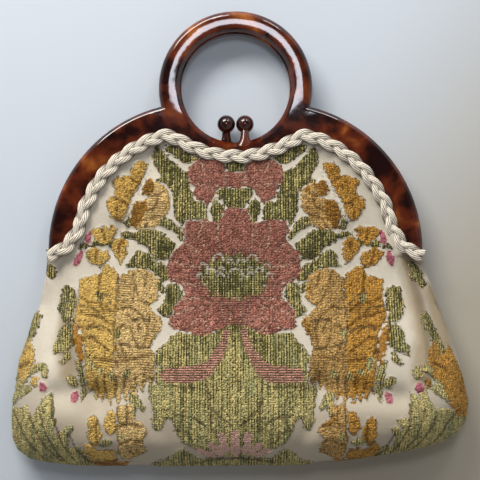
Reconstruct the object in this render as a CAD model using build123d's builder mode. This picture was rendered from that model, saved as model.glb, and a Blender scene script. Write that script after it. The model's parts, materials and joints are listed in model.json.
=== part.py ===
from build123d import *
from math import acos, atan2, cos, degrees, exp, hypot, pi, radians, sin, sqrt
import os

# Carpet bag with a tortoiseshell-look frame, lying on its back as it comes to rest.
# Two moulded half frames, each an arch with a ring handle, a sewing flange and one clasp ball, turn
# on two hinge pins at the arch's feet.  A flowered cut-pile bag is sewn to the flanges and lined,
# and a plaited braid covers its raw edge.  +X is to the right, +Y from the base to the handle, +Z out
# of the front panel.  The origin is under the middle of the bag, on the surface it lies on.  Sizes
# are in millimetres.

os.makedirs("parts", exist_ok=True)

# Half frame: arch, ring handle, section
ARCH_RADIUS = 110.3
ARCH_CENTRE_X = 28.7
HINGE_Y = -9.0
RING_RADIUS = 57.1
RING_HOLE_RADIUS = 40.4
RING_Y = 111.8
HALF_THICKNESS = 9.0
EDGE_ROUNDING = 4.2
RING_BEVEL_WIDTH = 4.6
RING_BEVEL_DEPTH = 3.6
HALF_GAP = 0.3

# Window of the arch, which the cloth fills, and the flange that the cloth is sewn to
SEW_RADIUS = 88.5
DIP_RADIUS = 77.0
DIP_Y = 137.5
CLOTH = 2.0
LINING = 1.0
SEAT_MARGIN = 1.5
SEAT_PLAY = 0.3
FLANGE_WIDTH = 6.5
FLANGE_THICKNESS = 2.6
SEW_HOLE_RADIUS = 0.9
SEW_HOLE_INSET = 3.2
SEW_PITCH = 14.0
SEW_HOLE_SIDES = 6
THREAD_RADIUS = 0.6

# Braid over the cloth's raw edge
BRAID_HEIGHT = 3.5
LOBE_LENGTH = 12.4
LOBE_WIDTH = 6.0
LOBE_PITCH = 7.6
LOBE_OFFSET = 1.4
LOBE_TILT = 24.0
LOBE_STEP = 0.7
LOBE_SIDES = 6
FLARE_RADIUS = 13.0
FLARE_START = 16.0
FLARE_LOBES = 3

# Hinge at each foot
KNUCKLE_RADIUS = 6.0
KNUCKLE_GAP = 0.3
TONGUE_LENGTH = 8.0
PIN_RADIUS = 1.2
PIN_PLAY = 0.05
PIN_HEAD_RADIUS = 2.4
PIN_HEAD_THICKNESS = 0.8

# Clasp balls
BALL_RADIUS = 6.7
BALL_SPACING = 13.9
BALL_Y = 85.4
STEM_RADIUS = 3.3
STEM_ROOT_WIDTH = 7.4
STEM_ROOT_Y = 68.5
STEM_ROOT_LEAN = 4.3
STEM_NECK_WIDTH = 4.1
STEM_NECK_RISE = 2.0
STEM_NECK_LEAN = 3.9
STEM_TOP_LEAN = 1.7
BALL_SEAT = 4.7

# Bag below the hinge line
MOUTH_HALF_WIDTH = 140.5
BASE_HALF_WIDTH = 169.0
FLARE_LENGTH = 125.0
BASE_LENGTH = 159.4
CORNER_LENGTH = 34.0
CORNER_WIDTH = 48.0
BACK_DIP = 1.5
BACK_DIP_LENGTH = 24.0
BACK_FLATNESS = 0.3
SEAM_Z = 14.0
MOUTH_RISE = 8.5
BELLY_RISE = 25.0
BELLY_LENGTH = 125.0
RISE_LENGTH = 60.0
FLAT_EDGE = 8.0
SIDE_SHOULDER = 52.0
BASE_SHOULDER = 41.6
BASE_POWER = 2.2
BASE_LIP = 1.0
BAG_PLAY = 0.3
BACK_LINING_RUN = 30.0

# Folds of the lower front: points of the line, half-width and height
FOLDS = (
    (((-138, -22), (-131, -70), (-100, -118)), 11.0, -5.0),
    (((-128, -112), (-78, -108)), 9.0, -5.0),
    (((64, -106), (118, -114)), 9.0, -5.0),
    (((128, -12), (152, -84)), 7.0, -4.0),
    (((-84, 4), (-96, -60)), 9.0, -2.5),
    (((84, 4), (96, -60)), 9.0, -2.5),
)

# Raised pile, woven in fields of one colour each
PILE = 0.8
PILE_SEAT = 0.1
PILE_EDGE = 6.5
PETAL_POINTS = 4
PETAL_NOTCH = 0.14

# Room for the hinges and for the front half when it is open
HINGE_POCKET = 10.0
SWING_ARC = 75.0
SWING_LENGTH = 45.0
SWING_LEAD = 3.0
SWING_CLEARANCE = 1.0

SPLIT_Z = BRAID_HEIGHT + HALF_THICKNESS
FACE_Z = SPLIT_Z + HALF_THICKNESS
FLANGE_TOP = FACE_Z - CLOTH
FLANGE_BOTTOM = FLANGE_TOP - FLANGE_THICKNESS
FOOT_OUTER = ARCH_CENTRE_X + ARCH_RADIUS
FOOT_INNER = ARCH_CENTRE_X + SEW_RADIUS + SEAT_MARGIN
TONGUE_X = (FOOT_INNER + FOOT_OUTER) / 2
BAG_START_Y = HINGE_Y - BAG_PLAY
BASE_Y = HINGE_Y - BASE_LENGTH
FRAME_TOP_Y = RING_Y + RING_RADIUS
SECTION_POINTS = 21
SECTIONS = 11
SECTION_SPREAD = 1.4
SHEET_ROWS = 15
SHEET_COLUMNS = 18
SHEET_STEP = 7.0
SHEET_PLAY = 0.15
SWING_STATIONS = 13


def smooth(value):
    """Smooth step from 0 to 1 as the value goes from 0 to 1."""
    step = min(max(value, 0.0), 1.0)
    return step * step * (3 - 2 * step)


def arch(radius):
    """Half-stadium outline of the arch in the current sketch: two quarter rounds and what lies between."""
    with Locations((-ARCH_CENTRE_X, HINGE_Y), (ARCH_CENTRE_X, HINGE_Y)):
        Circle(radius)
    with Locations((0, HINGE_Y)):
        Rectangle(2 * ARCH_CENTRE_X, 2 * radius)
        Rectangle(4 * radius, 2 * radius, align=(Align.CENTER, Align.MAX), mode=Mode.SUBTRACT)


def window(inset):
    """Outline of the arch's window, inset from the sewing line, in the current sketch."""
    arch(SEW_RADIUS - inset)
    with Locations((0, DIP_Y)):
        Circle(DIP_RADIUS + inset, mode=Mode.SUBTRACT)


def window_depth(x, y):
    """How far a point lies inside the window's sewing line."""
    side = SEW_RADIUS - hypot(max(abs(x) - ARCH_CENTRE_X, 0), y - HINGE_Y)
    dip = hypot(x, DIP_Y - y) - DIP_RADIUS
    return min(side, dip)


def window_places(inset, pitch, margin):
    """Evenly spaced places along the window's edge, from left foot to right foot, with X outward."""
    side_radius = SEW_RADIUS - inset
    dip_radius = DIP_RADIUS + inset
    reach = hypot(ARCH_CENTRE_X, DIP_Y - HINGE_Y)
    lean = atan2(DIP_Y - HINGE_Y, ARCH_CENTRE_X)
    peak_turn = acos((side_radius**2 + reach**2 - dip_radius**2) / (2 * side_radius * reach))
    peak_angle = lean + peak_turn
    peak_x = ARCH_CENTRE_X - side_radius * cos(peak_angle)
    dip_half = atan2(peak_x, DIP_Y - HINGE_Y - side_radius * sin(peak_angle))
    side_length = side_radius * (pi - peak_angle)
    dip_length = 2 * dip_radius * dip_half
    length = 2 * side_length + dip_length
    count = round((length - 2 * margin) / pitch) + 1
    places = []
    for index in range(count):
        run = margin + index * (length - 2 * margin) / (count - 1)
        side = -1 if run < length / 2 else 1
        end_run = min(run, length - run)
        angle = end_run / side_radius
        x = side * (ARCH_CENTRE_X + side_radius * cos(angle))
        y = HINGE_Y + side_radius * sin(angle)
        turn = pi / 2 - side * (pi / 2 - angle)
        if end_run > side_length:
            angle = (run - side_length) / dip_radius - dip_half
            x = dip_radius * sin(angle)
            y = DIP_Y - dip_radius * cos(angle)
            turn = pi / 2 + angle
        places.append(Location((x, y, 0), (0, 0, degrees(turn))))
    return places


def half_width(y, inset):
    """Half the bag's width at a height, which flares from the mouth and rounds in at the base."""
    down = HINGE_Y - y
    flare = MOUTH_HALF_WIDTH + (BASE_HALF_WIDTH - MOUTH_HALF_WIDTH) * smooth(down / FLARE_LENGTH)
    corner = min(max((down - BASE_LENGTH + CORNER_LENGTH) / CORNER_LENGTH, 0), 1)
    return flare - CORNER_WIDTH * (1 - (1 - corner**2) ** 0.5) - inset


def line_distance(x, y, points):
    """Distance from a place to a chain of points."""
    distances = []
    for (start_x, start_y), (end_x, end_y) in zip(points[:-1], points[1:]):
        run_x = end_x - start_x
        run_y = end_y - start_y
        share = ((x - start_x) * run_x + (y - start_y) * run_y) / (run_x**2 + run_y**2)
        share = min(max(share, 0), 1)
        distances.append(hypot(x - start_x - share * run_x, y - start_y - share * run_y))
    return min(distances)


def cloth_rise(x, y):
    """How far the front cloth stands above the frame's face, before it rounds down to the seam."""
    down = HINGE_Y - y
    inside = window_depth(x, y)
    if down > 0:
        inside = hypot(max(ARCH_CENTRE_X + SEW_RADIUS - abs(x), 0), down)
    full = MOUTH_RISE + BELLY_RISE * smooth(down / BELLY_LENGTH)
    return full * smooth((inside - FLAT_EDGE) / RISE_LENGTH)


def rounding(gap, reach, power):
    """Share of the full height at a distance inside a seam, on a rounded shoulder."""
    share = min(max(gap / reach, 0), 1)
    return sqrt(1 - (1 - share) ** power)


def front_height(x, y, inset):
    """Height of the bag's front over a point: a pillow with rounded shoulders, and its folds."""
    side = rounding(half_width(y, inset) - abs(x), SIDE_SHOULDER, 2)
    base = rounding(y - BASE_Y - inset + BASE_LIP, BASE_SHOULDER, BASE_POWER)
    fold = sum(height * exp(-((line_distance(x, y, line) / width) ** 2)) for line, width, height in FOLDS)
    top = FACE_Z + cloth_rise(x, y) + fold - inset
    return SEAM_Z + (top - SEAM_Z) * side * base


def back_height(y, inset):
    """Height of the flat back's middle: it leaves the frame and lies down on the surface."""
    down = HINGE_Y - y
    return BRAID_HEIGHT - (BRAID_HEIGHT + BACK_DIP) * smooth(down / BACK_DIP_LENGTH) + inset


def pouch(inset):
    """The bag below the hinge line as one solid in the current part, inset all round by a depth."""
    length = BASE_LENGTH - inset - BAG_PLAY
    outlines = []
    for section in range(SECTIONS):
        left = 1 - section / (SECTIONS - 1)
        y = BAG_START_Y - length * (1 - left**SECTION_SPREAD)
        half = half_width(y, inset)
        drop = SEAM_Z - back_height(y, inset)
        swing = [pi * (point / (SECTION_POINTS - 1) - 0.5) for point in range(SECTION_POINTS)]
        front = [(half * sin(angle), y, front_height(half * sin(angle), y, inset)) for angle in swing]
        back = [(half * sin(angle), y, SEAM_Z - drop * cos(angle) ** BACK_FLATNESS) for angle in swing[1:-1]]
        outlines.append(Face(Wire.make_polygon([*front, *reversed(back)])))
    loft(outlines, ruled=True)


def lining_sink(x, y):
    """How far the upper back lining sinks from the flange to the cloth."""
    return FLANGE_THICKNESS * smooth((window_depth(x, y) - FLAT_EDGE) / BACK_LINING_RUN)


def raised_sheet(height, depth):
    """A sheet of a depth under a height function, as a solid over the whole window."""
    rows = []
    for row in range(SHEET_ROWS):
        y = HINGE_Y + (row - 1) * SHEET_STEP
        xs = [column * SHEET_STEP for column in range(-SHEET_COLUMNS, SHEET_COLUMNS + 1)]
        rows.append([Vector(x, y, height(x, y)) for x in xs])
    face = Face.make_surface_from_array_of_points(rows)
    return Solid.extrude(face, Vector(0, 0, -depth))


# Half frame blank, drawn as the front half with its split face down
with BuildPart() as half_frame:
    with BuildSketch(Plane.XY.offset(SPLIT_Z + HALF_GAP / 2)):
        arch(ARCH_RADIUS)
        with Locations((0, RING_Y)):
            Circle(RING_RADIUS)
    extrude(amount=HALF_THICKNESS - HALF_GAP / 2)
    rim = half_frame.edges().group_by(Axis.Z)[-1]
    rim = rim.filter_by(lambda edge: edge.center().Y > HINGE_Y + 1)
    fillet(rim, EDGE_ROUNDING)
    with BuildSketch(Plane.XY.offset(SPLIT_Z)):
        with Locations((0, RING_Y)):
            Circle(RING_HOLE_RADIUS)
    extrude(amount=HALF_THICKNESS, mode=Mode.SUBTRACT)
    bevel = half_frame.edges().filter_by(GeomType.CIRCLE).group_by(Axis.Z)[-1]
    bevel = bevel.filter_by(lambda edge: abs(edge.radius - RING_HOLE_RADIUS) < 0.01)
    chamfer(bevel, RING_BEVEL_DEPTH, RING_BEVEL_WIDTH)
    with BuildSketch(Plane.XY.offset(FLANGE_TOP)):
        window(-SEAT_MARGIN)
    extrude(amount=HALF_THICKNESS, mode=Mode.SUBTRACT)
    with BuildSketch(Plane.XY.offset(SPLIT_Z)):
        window(0)
    extrude(amount=FLANGE_BOTTOM - SPLIT_Z, mode=Mode.SUBTRACT)
    with BuildSketch(Plane.XY.offset(SPLIT_Z)):
        window(FLANGE_WIDTH)
    extrude(amount=HALF_THICKNESS, mode=Mode.SUBTRACT)
    with BuildSketch(Plane.XY.offset(FLANGE_BOTTOM)):
        with Locations(*window_places(SEW_HOLE_INSET, SEW_PITCH, SEW_PITCH / 2)):
            RegularPolygon(SEW_HOLE_RADIUS, SEW_HOLE_SIDES)
    extrude(amount=FLANGE_THICKNESS, mode=Mode.SUBTRACT)

    # Clasp ball on its stem, which leans out of the half frame to the split
    for y, width, height, lean in (
        (STEM_ROOT_Y, STEM_ROOT_WIDTH, STEM_ROOT_LEAN - HALF_GAP, STEM_ROOT_LEAN),
        (RING_Y - RING_HOLE_RADIUS + STEM_NECK_RISE, STEM_NECK_WIDTH, STEM_RADIUS, STEM_NECK_LEAN),
        (BALL_Y - BALL_SEAT, STEM_RADIUS, STEM_RADIUS, STEM_TOP_LEAN),
    ):
        with BuildSketch(Plane((BALL_SPACING / 2, y, SPLIT_Z + lean), (1, 0, 0), (0, -1, 0))):
            Ellipse(width, height)
    loft()
    with Locations((BALL_SPACING / 2, BALL_Y, SPLIT_Z)):
        Sphere(BALL_RADIUS)

TONGUES = [(TONGUE_X - TONGUE_LENGTH / 2, TONGUE_X + TONGUE_LENGTH / 2)]
HEAD_ROOM = [(FOOT_INNER - 2 * SEAT_MARGIN, FOOT_INNER)]
EARS = [(FOOT_INNER, TONGUES[0][0] - KNUCKLE_GAP), (TONGUES[0][1] + KNUCKLE_GAP, FOOT_OUTER)]


def barrels(spans, radius, margin, mode):
    """Round barrels about the hinge line at both feet, over each span widened by a margin."""
    for start, end in spans:
        for side in (-1, 1):
            centre = side * (start + end) / 2
            length = end - start + 2 * margin
            with BuildSketch(Plane.YZ.offset(centre - length / 2)) as barrel:
                with Locations((HINGE_Y, SPLIT_Z)):
                    Circle(radius)
            extrude(barrel.sketch, amount=length, mode=mode)


with BuildPart() as front_frame:
    add(half_frame.part)
    barrels(EARS, KNUCKLE_RADIUS + KNUCKLE_GAP, KNUCKLE_GAP, Mode.SUBTRACT)
    barrels(TONGUES, KNUCKLE_RADIUS, 0, Mode.ADD)
    barrels(TONGUES, PIN_RADIUS + PIN_PLAY, KNUCKLE_GAP, Mode.SUBTRACT)
    barrels(HEAD_ROOM, PIN_HEAD_RADIUS + KNUCKLE_GAP, 0, Mode.SUBTRACT)
front_frame.part.label = "front_frame"
export_step(front_frame.part, "parts/front_frame.step")

FLIP = Plane((0, 0, 2 * SPLIT_Z), (-1, 0, 0), (0, 0, -1))
with BuildPart() as back_frame:
    add(half_frame.part.moved(FLIP.location))
    barrels(TONGUES, KNUCKLE_RADIUS + KNUCKLE_GAP, KNUCKLE_GAP, Mode.SUBTRACT)
    barrels(EARS, KNUCKLE_RADIUS, 0, Mode.ADD)
    barrels(EARS, PIN_RADIUS, 0, Mode.SUBTRACT)
    barrels(HEAD_ROOM, PIN_HEAD_RADIUS + KNUCKLE_GAP, 0, Mode.SUBTRACT)
back_frame.part.label = "back_frame"
export_step(back_frame.part, "parts/back_frame.step")

# Hinge pins, headed at both ends
for side, name in ((-1, "left_hinge_pin"), (1, "right_hinge_pin")):
    start = FOOT_INNER
    with BuildPart() as pin:
        for place, length, radius in (
            (start - PIN_HEAD_THICKNESS, PIN_HEAD_THICKNESS, PIN_HEAD_RADIUS),
            (start, FOOT_OUTER - start, PIN_RADIUS),
            (FOOT_OUTER, PIN_HEAD_THICKNESS, PIN_HEAD_RADIUS),
        ):
            near = place if side > 0 else -place - length
            with BuildSketch(Plane.YZ.offset(near)):
                with Locations((HINGE_Y, SPLIT_Z)):
                    Circle(radius)
            extrude(amount=length)
    pin.part.label = name
    export_step(pin.part, "parts/" + name + ".step")

# Braids: overlapping lobes, leaning in turn to each side of the sewing line


def flare_place(side, run):
    """Place on the braid's flare, which leaves the window's edge and turns out over the foot."""
    turn = min(run / FLARE_RADIUS, pi / 2)
    past = max(run - FLARE_RADIUS * pi / 2, 0)
    start = FLARE_START / SEW_RADIUS
    x = ARCH_CENTRE_X + SEW_RADIUS * cos(start) + FLARE_RADIUS * (1 - cos(turn)) + past
    y = HINGE_Y + SEW_RADIUS * sin(start) - FLARE_RADIUS * sin(turn)
    return Location((side * x, y, 0), (0, 0, side * degrees(turn)))


left_flare = [flare_place(-1, LOBE_PITCH * (FLARE_LOBES - index)) for index in range(FLARE_LOBES)]
right_flare = [flare_place(1, LOBE_PITCH * (index + 1)) for index in range(FLARE_LOBES)]
lobes = left_flare + window_places(0, LOBE_PITCH, FLARE_START) + right_flare
with BuildPart() as front_braid:
    for turn in (0, 1):
        lean = LOBE_TILT * (1 - 2 * turn)
        shift = Location((LOBE_OFFSET * (1 - 2 * turn), 0, 0), (0, 0, lean))
        oval = [2 * pi * (corner + 0.5) / LOBE_SIDES for corner in range(LOBE_SIDES)]
        rim = [(LOBE_WIDTH / 2 * cos(angle), LOBE_LENGTH / 2 * sin(angle)) for angle in oval]
        with BuildSketch(Plane.XY.offset(FACE_Z)):
            with Locations(*[place * shift for place in lobes[turn::2]]):
                Polygon(*rim, align=None)
        extrude(amount=BRAID_HEIGHT - turn * LOBE_STEP)
front_braid.part.label = "front_braid"
export_step(front_braid.part, "parts/front_braid.step")

with BuildPart() as back_braid:
    add(front_braid.part.moved(FLIP.location))
back_braid.part.label = "back_braid"
export_step(back_braid.part, "parts/back_braid.step")

# Stitches through the sewing holes, between cloth and lining
with BuildPart() as front_stitches:
    with BuildSketch(Plane.XY.offset(FLANGE_BOTTOM)):
        with Locations(*window_places(SEW_HOLE_INSET, SEW_PITCH, SEW_PITCH / 2)):
            RegularPolygon(THREAD_RADIUS, SEW_HOLE_SIDES)
    extrude(amount=FLANGE_THICKNESS)
front_stitches.part.label = "front_stitches"
export_step(front_stitches.part, "parts/front_stitches.step")

with BuildPart() as back_stitches:
    add(front_stitches.part.moved(FLIP.location))
back_stitches.part.label = "back_stitches"
export_step(back_stitches.part, "parts/back_stitches.step")

# Upper cloth and linings, seated on the flanges and clear of the braids
with BuildPart() as front_panel:
    add(raised_sheet(lambda x, y: FACE_Z - SHEET_PLAY + cloth_rise(x, y), CLOTH - 2 * SHEET_PLAY))
    with BuildSketch():
        window(SEAT_PLAY - SEAT_MARGIN)
    extrude(amount=2 * FACE_Z, mode=Mode.INTERSECT)
front_panel.part.label = "front_panel"
export_step(front_panel.part, "parts/front_panel.step")

with BuildPart() as front_lining:
    add(raised_sheet(lambda x, y: FLANGE_BOTTOM - SHEET_PLAY + cloth_rise(x, y), LINING))
    with BuildSketch():
        window(SEAT_PLAY)
    extrude(amount=2 * FACE_Z, mode=Mode.INTERSECT)
front_lining.part.label = "front_lining"
export_step(front_lining.part, "parts/front_lining.step")

BACK_LINING_Z = 2 * SPLIT_Z - FLANGE_BOTTOM + SHEET_PLAY + LINING
with BuildPart() as back_lining:
    add(raised_sheet(lambda x, y: BACK_LINING_Z - lining_sink(x, y), LINING))
    with BuildSketch():
        window(SEAT_PLAY)
    extrude(amount=2 * FACE_Z, mode=Mode.INTERSECT)
back_lining.part.label = "back_lining"
export_step(back_lining.part, "parts/back_lining.step")

# Room that the hinges need, and the front half when it is swung open
SWUNG_AXIS = (0, -cos(radians(SWING_ARC)), -sin(radians(SWING_ARC)))
with BuildSketch() as swing_section:
    with BuildLine():
        stations = [FLAT_EDGE * step for step in range(-SWING_STATIONS, SWING_STATIONS + 1)]
        bare = FACE_Z - SPLIT_Z + PILE_SEAT + PILE + SWING_CLEARANCE
        top = [(x, bare + cloth_rise(x, HINGE_Y)) for x in stations]
        Polyline((stations[0], 0), *top, (stations[-1], 0), close=True)
    make_face()
    Rectangle(
        2 * (FOOT_OUTER + SWING_CLEARANCE),
        HALF_THICKNESS + BRAID_HEIGHT + SWING_CLEARANCE,
        align=(Align.CENTER, Align.MIN),
    )
with BuildPart() as swing_room:
    barrels([(FOOT_INNER - SEAT_MARGIN, 2 * FOOT_OUTER)], HINGE_POCKET, 0, Mode.ADD)
    with BuildSketch(Plane((0, HINGE_Y, SPLIT_Z), (1, 0, 0), SWUNG_AXIS).offset(SWING_LEAD)):
        add(swing_section.sketch)
    extrude(amount=-SWING_LENGTH - SWING_LEAD)

# The bag below the hinge line: outside of the cloth, inside of the cloth, inside of the lining
with BuildPart() as bag_outside:
    pouch(0)
    split(bisect_by=Plane.XY)
with BuildPart() as bag_between:
    pouch(CLOTH)
    split(bisect_by=Plane.XY.offset(CLOTH))
with BuildPart() as bag_inside:
    pouch(CLOTH + LINING)
    split(bisect_by=Plane.XY.offset(CLOTH + LINING))

with BuildPart() as front_pouch:
    add(bag_outside.part)
    add(bag_between.part, mode=Mode.SUBTRACT)
    add(swing_room.part, mode=Mode.SUBTRACT)
    split(bisect_by=Plane.XY.offset(SEAM_Z))
front_pouch.part.label = "front_pouch"
export_step(front_pouch.part, "parts/front_pouch.step")

with BuildPart() as back_panel:
    add(bag_outside.part)
    add(bag_between.part, mode=Mode.SUBTRACT)
    split(bisect_by=Plane.XY.offset(SEAM_Z), keep=Keep.BOTTOM)
    add(swing_room.part, mode=Mode.SUBTRACT)
    with BuildSketch(Plane.XY.offset(BRAID_HEIGHT)):
        window(SEAT_PLAY - SEAT_MARGIN)
        with Locations((0, HINGE_Y)):
            Rectangle(2 * SEW_RADIUS, 4 * BAG_PLAY)
    extrude(amount=CLOTH)
back_panel.part.label = "back_panel"
export_step(back_panel.part, "parts/back_panel.step")

with BuildPart() as pouch_lining:
    add(bag_between.part)
    add(bag_inside.part, mode=Mode.SUBTRACT)
    add(swing_room.part, mode=Mode.SUBTRACT)
pouch_lining.part.label = "pouch_lining"
export_step(pouch_lining.part, "parts/pouch_lining.step")

# Raised pile of the front, in fields of one colour


def rosette(x, y, half_width, half_height, petals):
    """Scalloped outline of a flower in the current sketch."""
    points = []
    for step in range(petals * PETAL_POINTS):
        angle = 2 * pi * step / (petals * PETAL_POINTS)
        swell = 1 - PETAL_NOTCH * (1 - abs(cos(petals * angle / 2)))
        points.append((x + half_width * swell * cos(angle), y + half_height * swell * sin(angle)))
    Polygon(*points, align=None)


with BuildSketch() as roses:
    rosette(-18, 41, 12.5, 14, 5)
    rosette(0, -27, 49, 44, 12)
    with Locations((0, -30)):
        Ellipse(26, 18, mode=Mode.SUBTRACT)
    Polygon((-7, -75), (-1, -78), (-20, -98), (-50, -101), (-50, -95), (-26, -93), align=None)
    mirror(about=Plane.YZ)
with BuildSketch() as leaves:
    Polygon((-54, 66), (-45, 58), (-33, 38), (-32, 29), (-38, 13), (-46, 15), (-47, 33), (-57, 42),
            align=None)
    Polygon((-12, 26), (-3, 33), (-3, 20), (-9, 22), align=None)
    Polygon((-76, 3), (-62, 7), (-53, 2), (-53, -10), (-66, -9), align=None)
    Polygon((-53, -74), (-42, -71), (-14, -75), (-28, -91), (-52, -93), align=None)
    Polygon((-62, -106), (-24, -102), (-3, -84), (-3, -136), (-36, -143), (-50, -127), (-57, -134),
            align=None)
    Polygon((-128, -36), (-119, -38), (-119, -90), (-129, -84), align=None)
    Polygon((-159, -122), (-147, -129), (-135, -112), (-129, -128), (-120, -135), (-113, -150),
            (-104, -160), (-112, -164), (-140, -158), (-158, -140), align=None)
    mirror(about=Plane.YZ)
with BuildSketch() as golds:
    rosette(-82, 36, 10, 15, 6)
    rosette(-98, 3, 10, 10, 5)
    rosette(-101, -66, 15.5, 47, 12)
    rosette(-94, -141, 8, 15, 6)
    rosette(-151, -91, 5.5, 17, 5)
    mirror(about=Plane.YZ)
with BuildSketch() as tans:
    rosette(-60, 25, 10, 15, 6)
    rosette(-69, -60, 14, 40, 9)
    rosette(-74, -139, 10, 16, 6)
    mirror(about=Plane.YZ)

with BuildPart() as pile_top:
    pouch(-PILE_SEAT - PILE)
with BuildPart() as pile_foot:
    pouch(-PILE_SEAT)
with BuildPart() as lower_pile:
    add(pile_top.part)
    add(pile_foot.part, mode=Mode.SUBTRACT)
    split(bisect_by=Plane.XY.offset(SEAM_Z + BASE_LIP))
    add(swing_room.part, mode=Mode.SUBTRACT)
with BuildPart() as upper_pile:
    add(raised_sheet(lambda x, y: FACE_Z + PILE_SEAT + PILE + cloth_rise(x, y), PILE))
    with BuildSketch():
        window(PILE_EDGE)
    extrude(amount=2 * FACE_Z, mode=Mode.INTERSECT)

for colour, fields in (("rose", roses), ("leaf", leaves), ("gold", golds), ("tan", tans)):
    for place, layer in (("upper", upper_pile), ("lower", lower_pile)):
        name = place + "_" + colour + "_pile"
        with BuildPart() as pile:
            add(layer.part)
            with BuildSketch():
                add(fields.sketch)
            extrude(amount=FACE_Z + MOUTH_RISE + BELLY_RISE + 2 * PILE, mode=Mode.INTERSECT)
        pile.part.label = name
        export_step(pile.part, "parts/" + name + ".step")
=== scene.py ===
"""Carpet bag with a tortoiseshell-look frame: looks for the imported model, laid out as an add-on.

Every length in the geometry functions is in millimetres, and MM turns it into the scene's metres.
"""

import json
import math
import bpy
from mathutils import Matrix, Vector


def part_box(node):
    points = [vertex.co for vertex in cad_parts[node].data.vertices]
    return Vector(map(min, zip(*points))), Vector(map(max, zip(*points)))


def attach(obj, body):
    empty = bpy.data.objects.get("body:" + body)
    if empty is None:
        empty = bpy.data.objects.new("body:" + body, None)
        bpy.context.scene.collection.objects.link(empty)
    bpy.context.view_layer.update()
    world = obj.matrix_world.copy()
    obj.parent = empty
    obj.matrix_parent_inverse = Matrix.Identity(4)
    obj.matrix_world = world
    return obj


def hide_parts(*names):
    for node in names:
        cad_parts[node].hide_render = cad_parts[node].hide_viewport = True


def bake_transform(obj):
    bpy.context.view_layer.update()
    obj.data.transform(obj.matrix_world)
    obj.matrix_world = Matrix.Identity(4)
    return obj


bl_info = {
    "name": "Carpet Bag",
    "version": (1, 0, 0),
    "blender": (4, 5, 0),
    "location": "View3D > Sidebar > Carpet Bag",
    "description": "Builds the cloth, pile, braid, lining and finishes of a frame carpet bag",
    "category": "Add Mesh",
}

from types import SimpleNamespace

import bpy
import numpy as np
from mathutils import Vector

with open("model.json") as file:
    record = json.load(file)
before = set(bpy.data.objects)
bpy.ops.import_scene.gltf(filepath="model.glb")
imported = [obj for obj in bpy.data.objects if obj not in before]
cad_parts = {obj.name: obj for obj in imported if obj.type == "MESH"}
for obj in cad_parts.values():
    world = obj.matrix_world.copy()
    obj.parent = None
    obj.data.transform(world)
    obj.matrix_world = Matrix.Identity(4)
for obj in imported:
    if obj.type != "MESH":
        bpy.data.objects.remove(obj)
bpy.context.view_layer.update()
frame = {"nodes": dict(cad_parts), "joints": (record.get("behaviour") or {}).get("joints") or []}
MM = 0.001
SEED = 7

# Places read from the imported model, in millimetres
FACE_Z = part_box("front_braid")[0].z / MM
BACK_FACE_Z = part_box("back_braid")[1].z / MM
HINGE_POINT = next(j for j in frame["joints"] if j["name"] == "frame_hinge")["pos_m"]
HINGE_Y = HINGE_POINT[1] / MM

# The frame's curves that the cloth is sewn along, and its ring, in millimetres
SEW_RADIUS = 88.5
SEW_CENTRE_X = 28.7
DIP_RADIUS = 77.0
DIP_Y = 137.5
DIP_SOFTNESS = 3.0
RING_Y = 111.8
RING_MIDDLE = 49.5


class BagShape(bpy.types.PropertyGroup):
    """Sizes of the soft parts."""

    mouth_rise: bpy.props.FloatProperty(
        name="Mouth rise", description="How far the cloth stands over the frame's face at the hinge line",
        default=0.0085, unit="LENGTH")
    belly_rise: bpy.props.FloatProperty(
        name="Belly rise", description="How much higher the bag's belly is than its mouth",
        default=0.025, unit="LENGTH")
    rim_height: bpy.props.FloatProperty(
        name="Rim height", description="Height of the side and base seam", default=0.015, unit="LENGTH")
    shoulder: bpy.props.FloatProperty(
        name="Shoulder", description="Width over which the front rounds down to the seam",
        default=0.052, unit="LENGTH")
    cloth_step: bpy.props.FloatProperty(
        name="Cloth step", description="Spacing of the front cloth's mesh", default=0.0011, unit="LENGTH")
    pile_height: bpy.props.FloatProperty(
        name="Pile height", description="Height of the cut pile over the ground", default=0.0010,
        unit="LENGTH")
    lining_gap: bpy.props.FloatProperty(
        name="Lining gap", description="Depth of the lining below the cloth", default=0.0024, unit="LENGTH")


class BraidShape(bpy.types.PropertyGroup):
    """Sizes of the plaited braid."""

    lay_length: bpy.props.FloatProperty(
        name="Lay length", description="Length of one full turn of the plait", default=0.0405,
        unit="LENGTH")
    sway: bpy.props.FloatProperty(
        name="Sway", description="How far each strand swings to a side", default=0.0030, unit="LENGTH")
    lift: bpy.props.FloatProperty(
        name="Lift", description="How far each strand rises over the others", default=0.0014,
        unit="LENGTH")
    strand_width: bpy.props.FloatProperty(
        name="Strand width", description="Width of a strand", default=0.0046, unit="LENGTH")
    thread_radius: bpy.props.FloatProperty(
        name="Thread radius", description="Radius of a thread in a strand", default=0.00058,
        unit="LENGTH")
    threads: bpy.props.IntProperty(
        name="Threads", description="Threads in each strand", default=8, min=4, max=12)


def colour(label, text, value):
    """A colour property with its default."""
    return bpy.props.FloatVectorProperty(
        name=label, description=text, subtype="COLOR", size=3, min=0.0, max=1.0, default=value)


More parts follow.
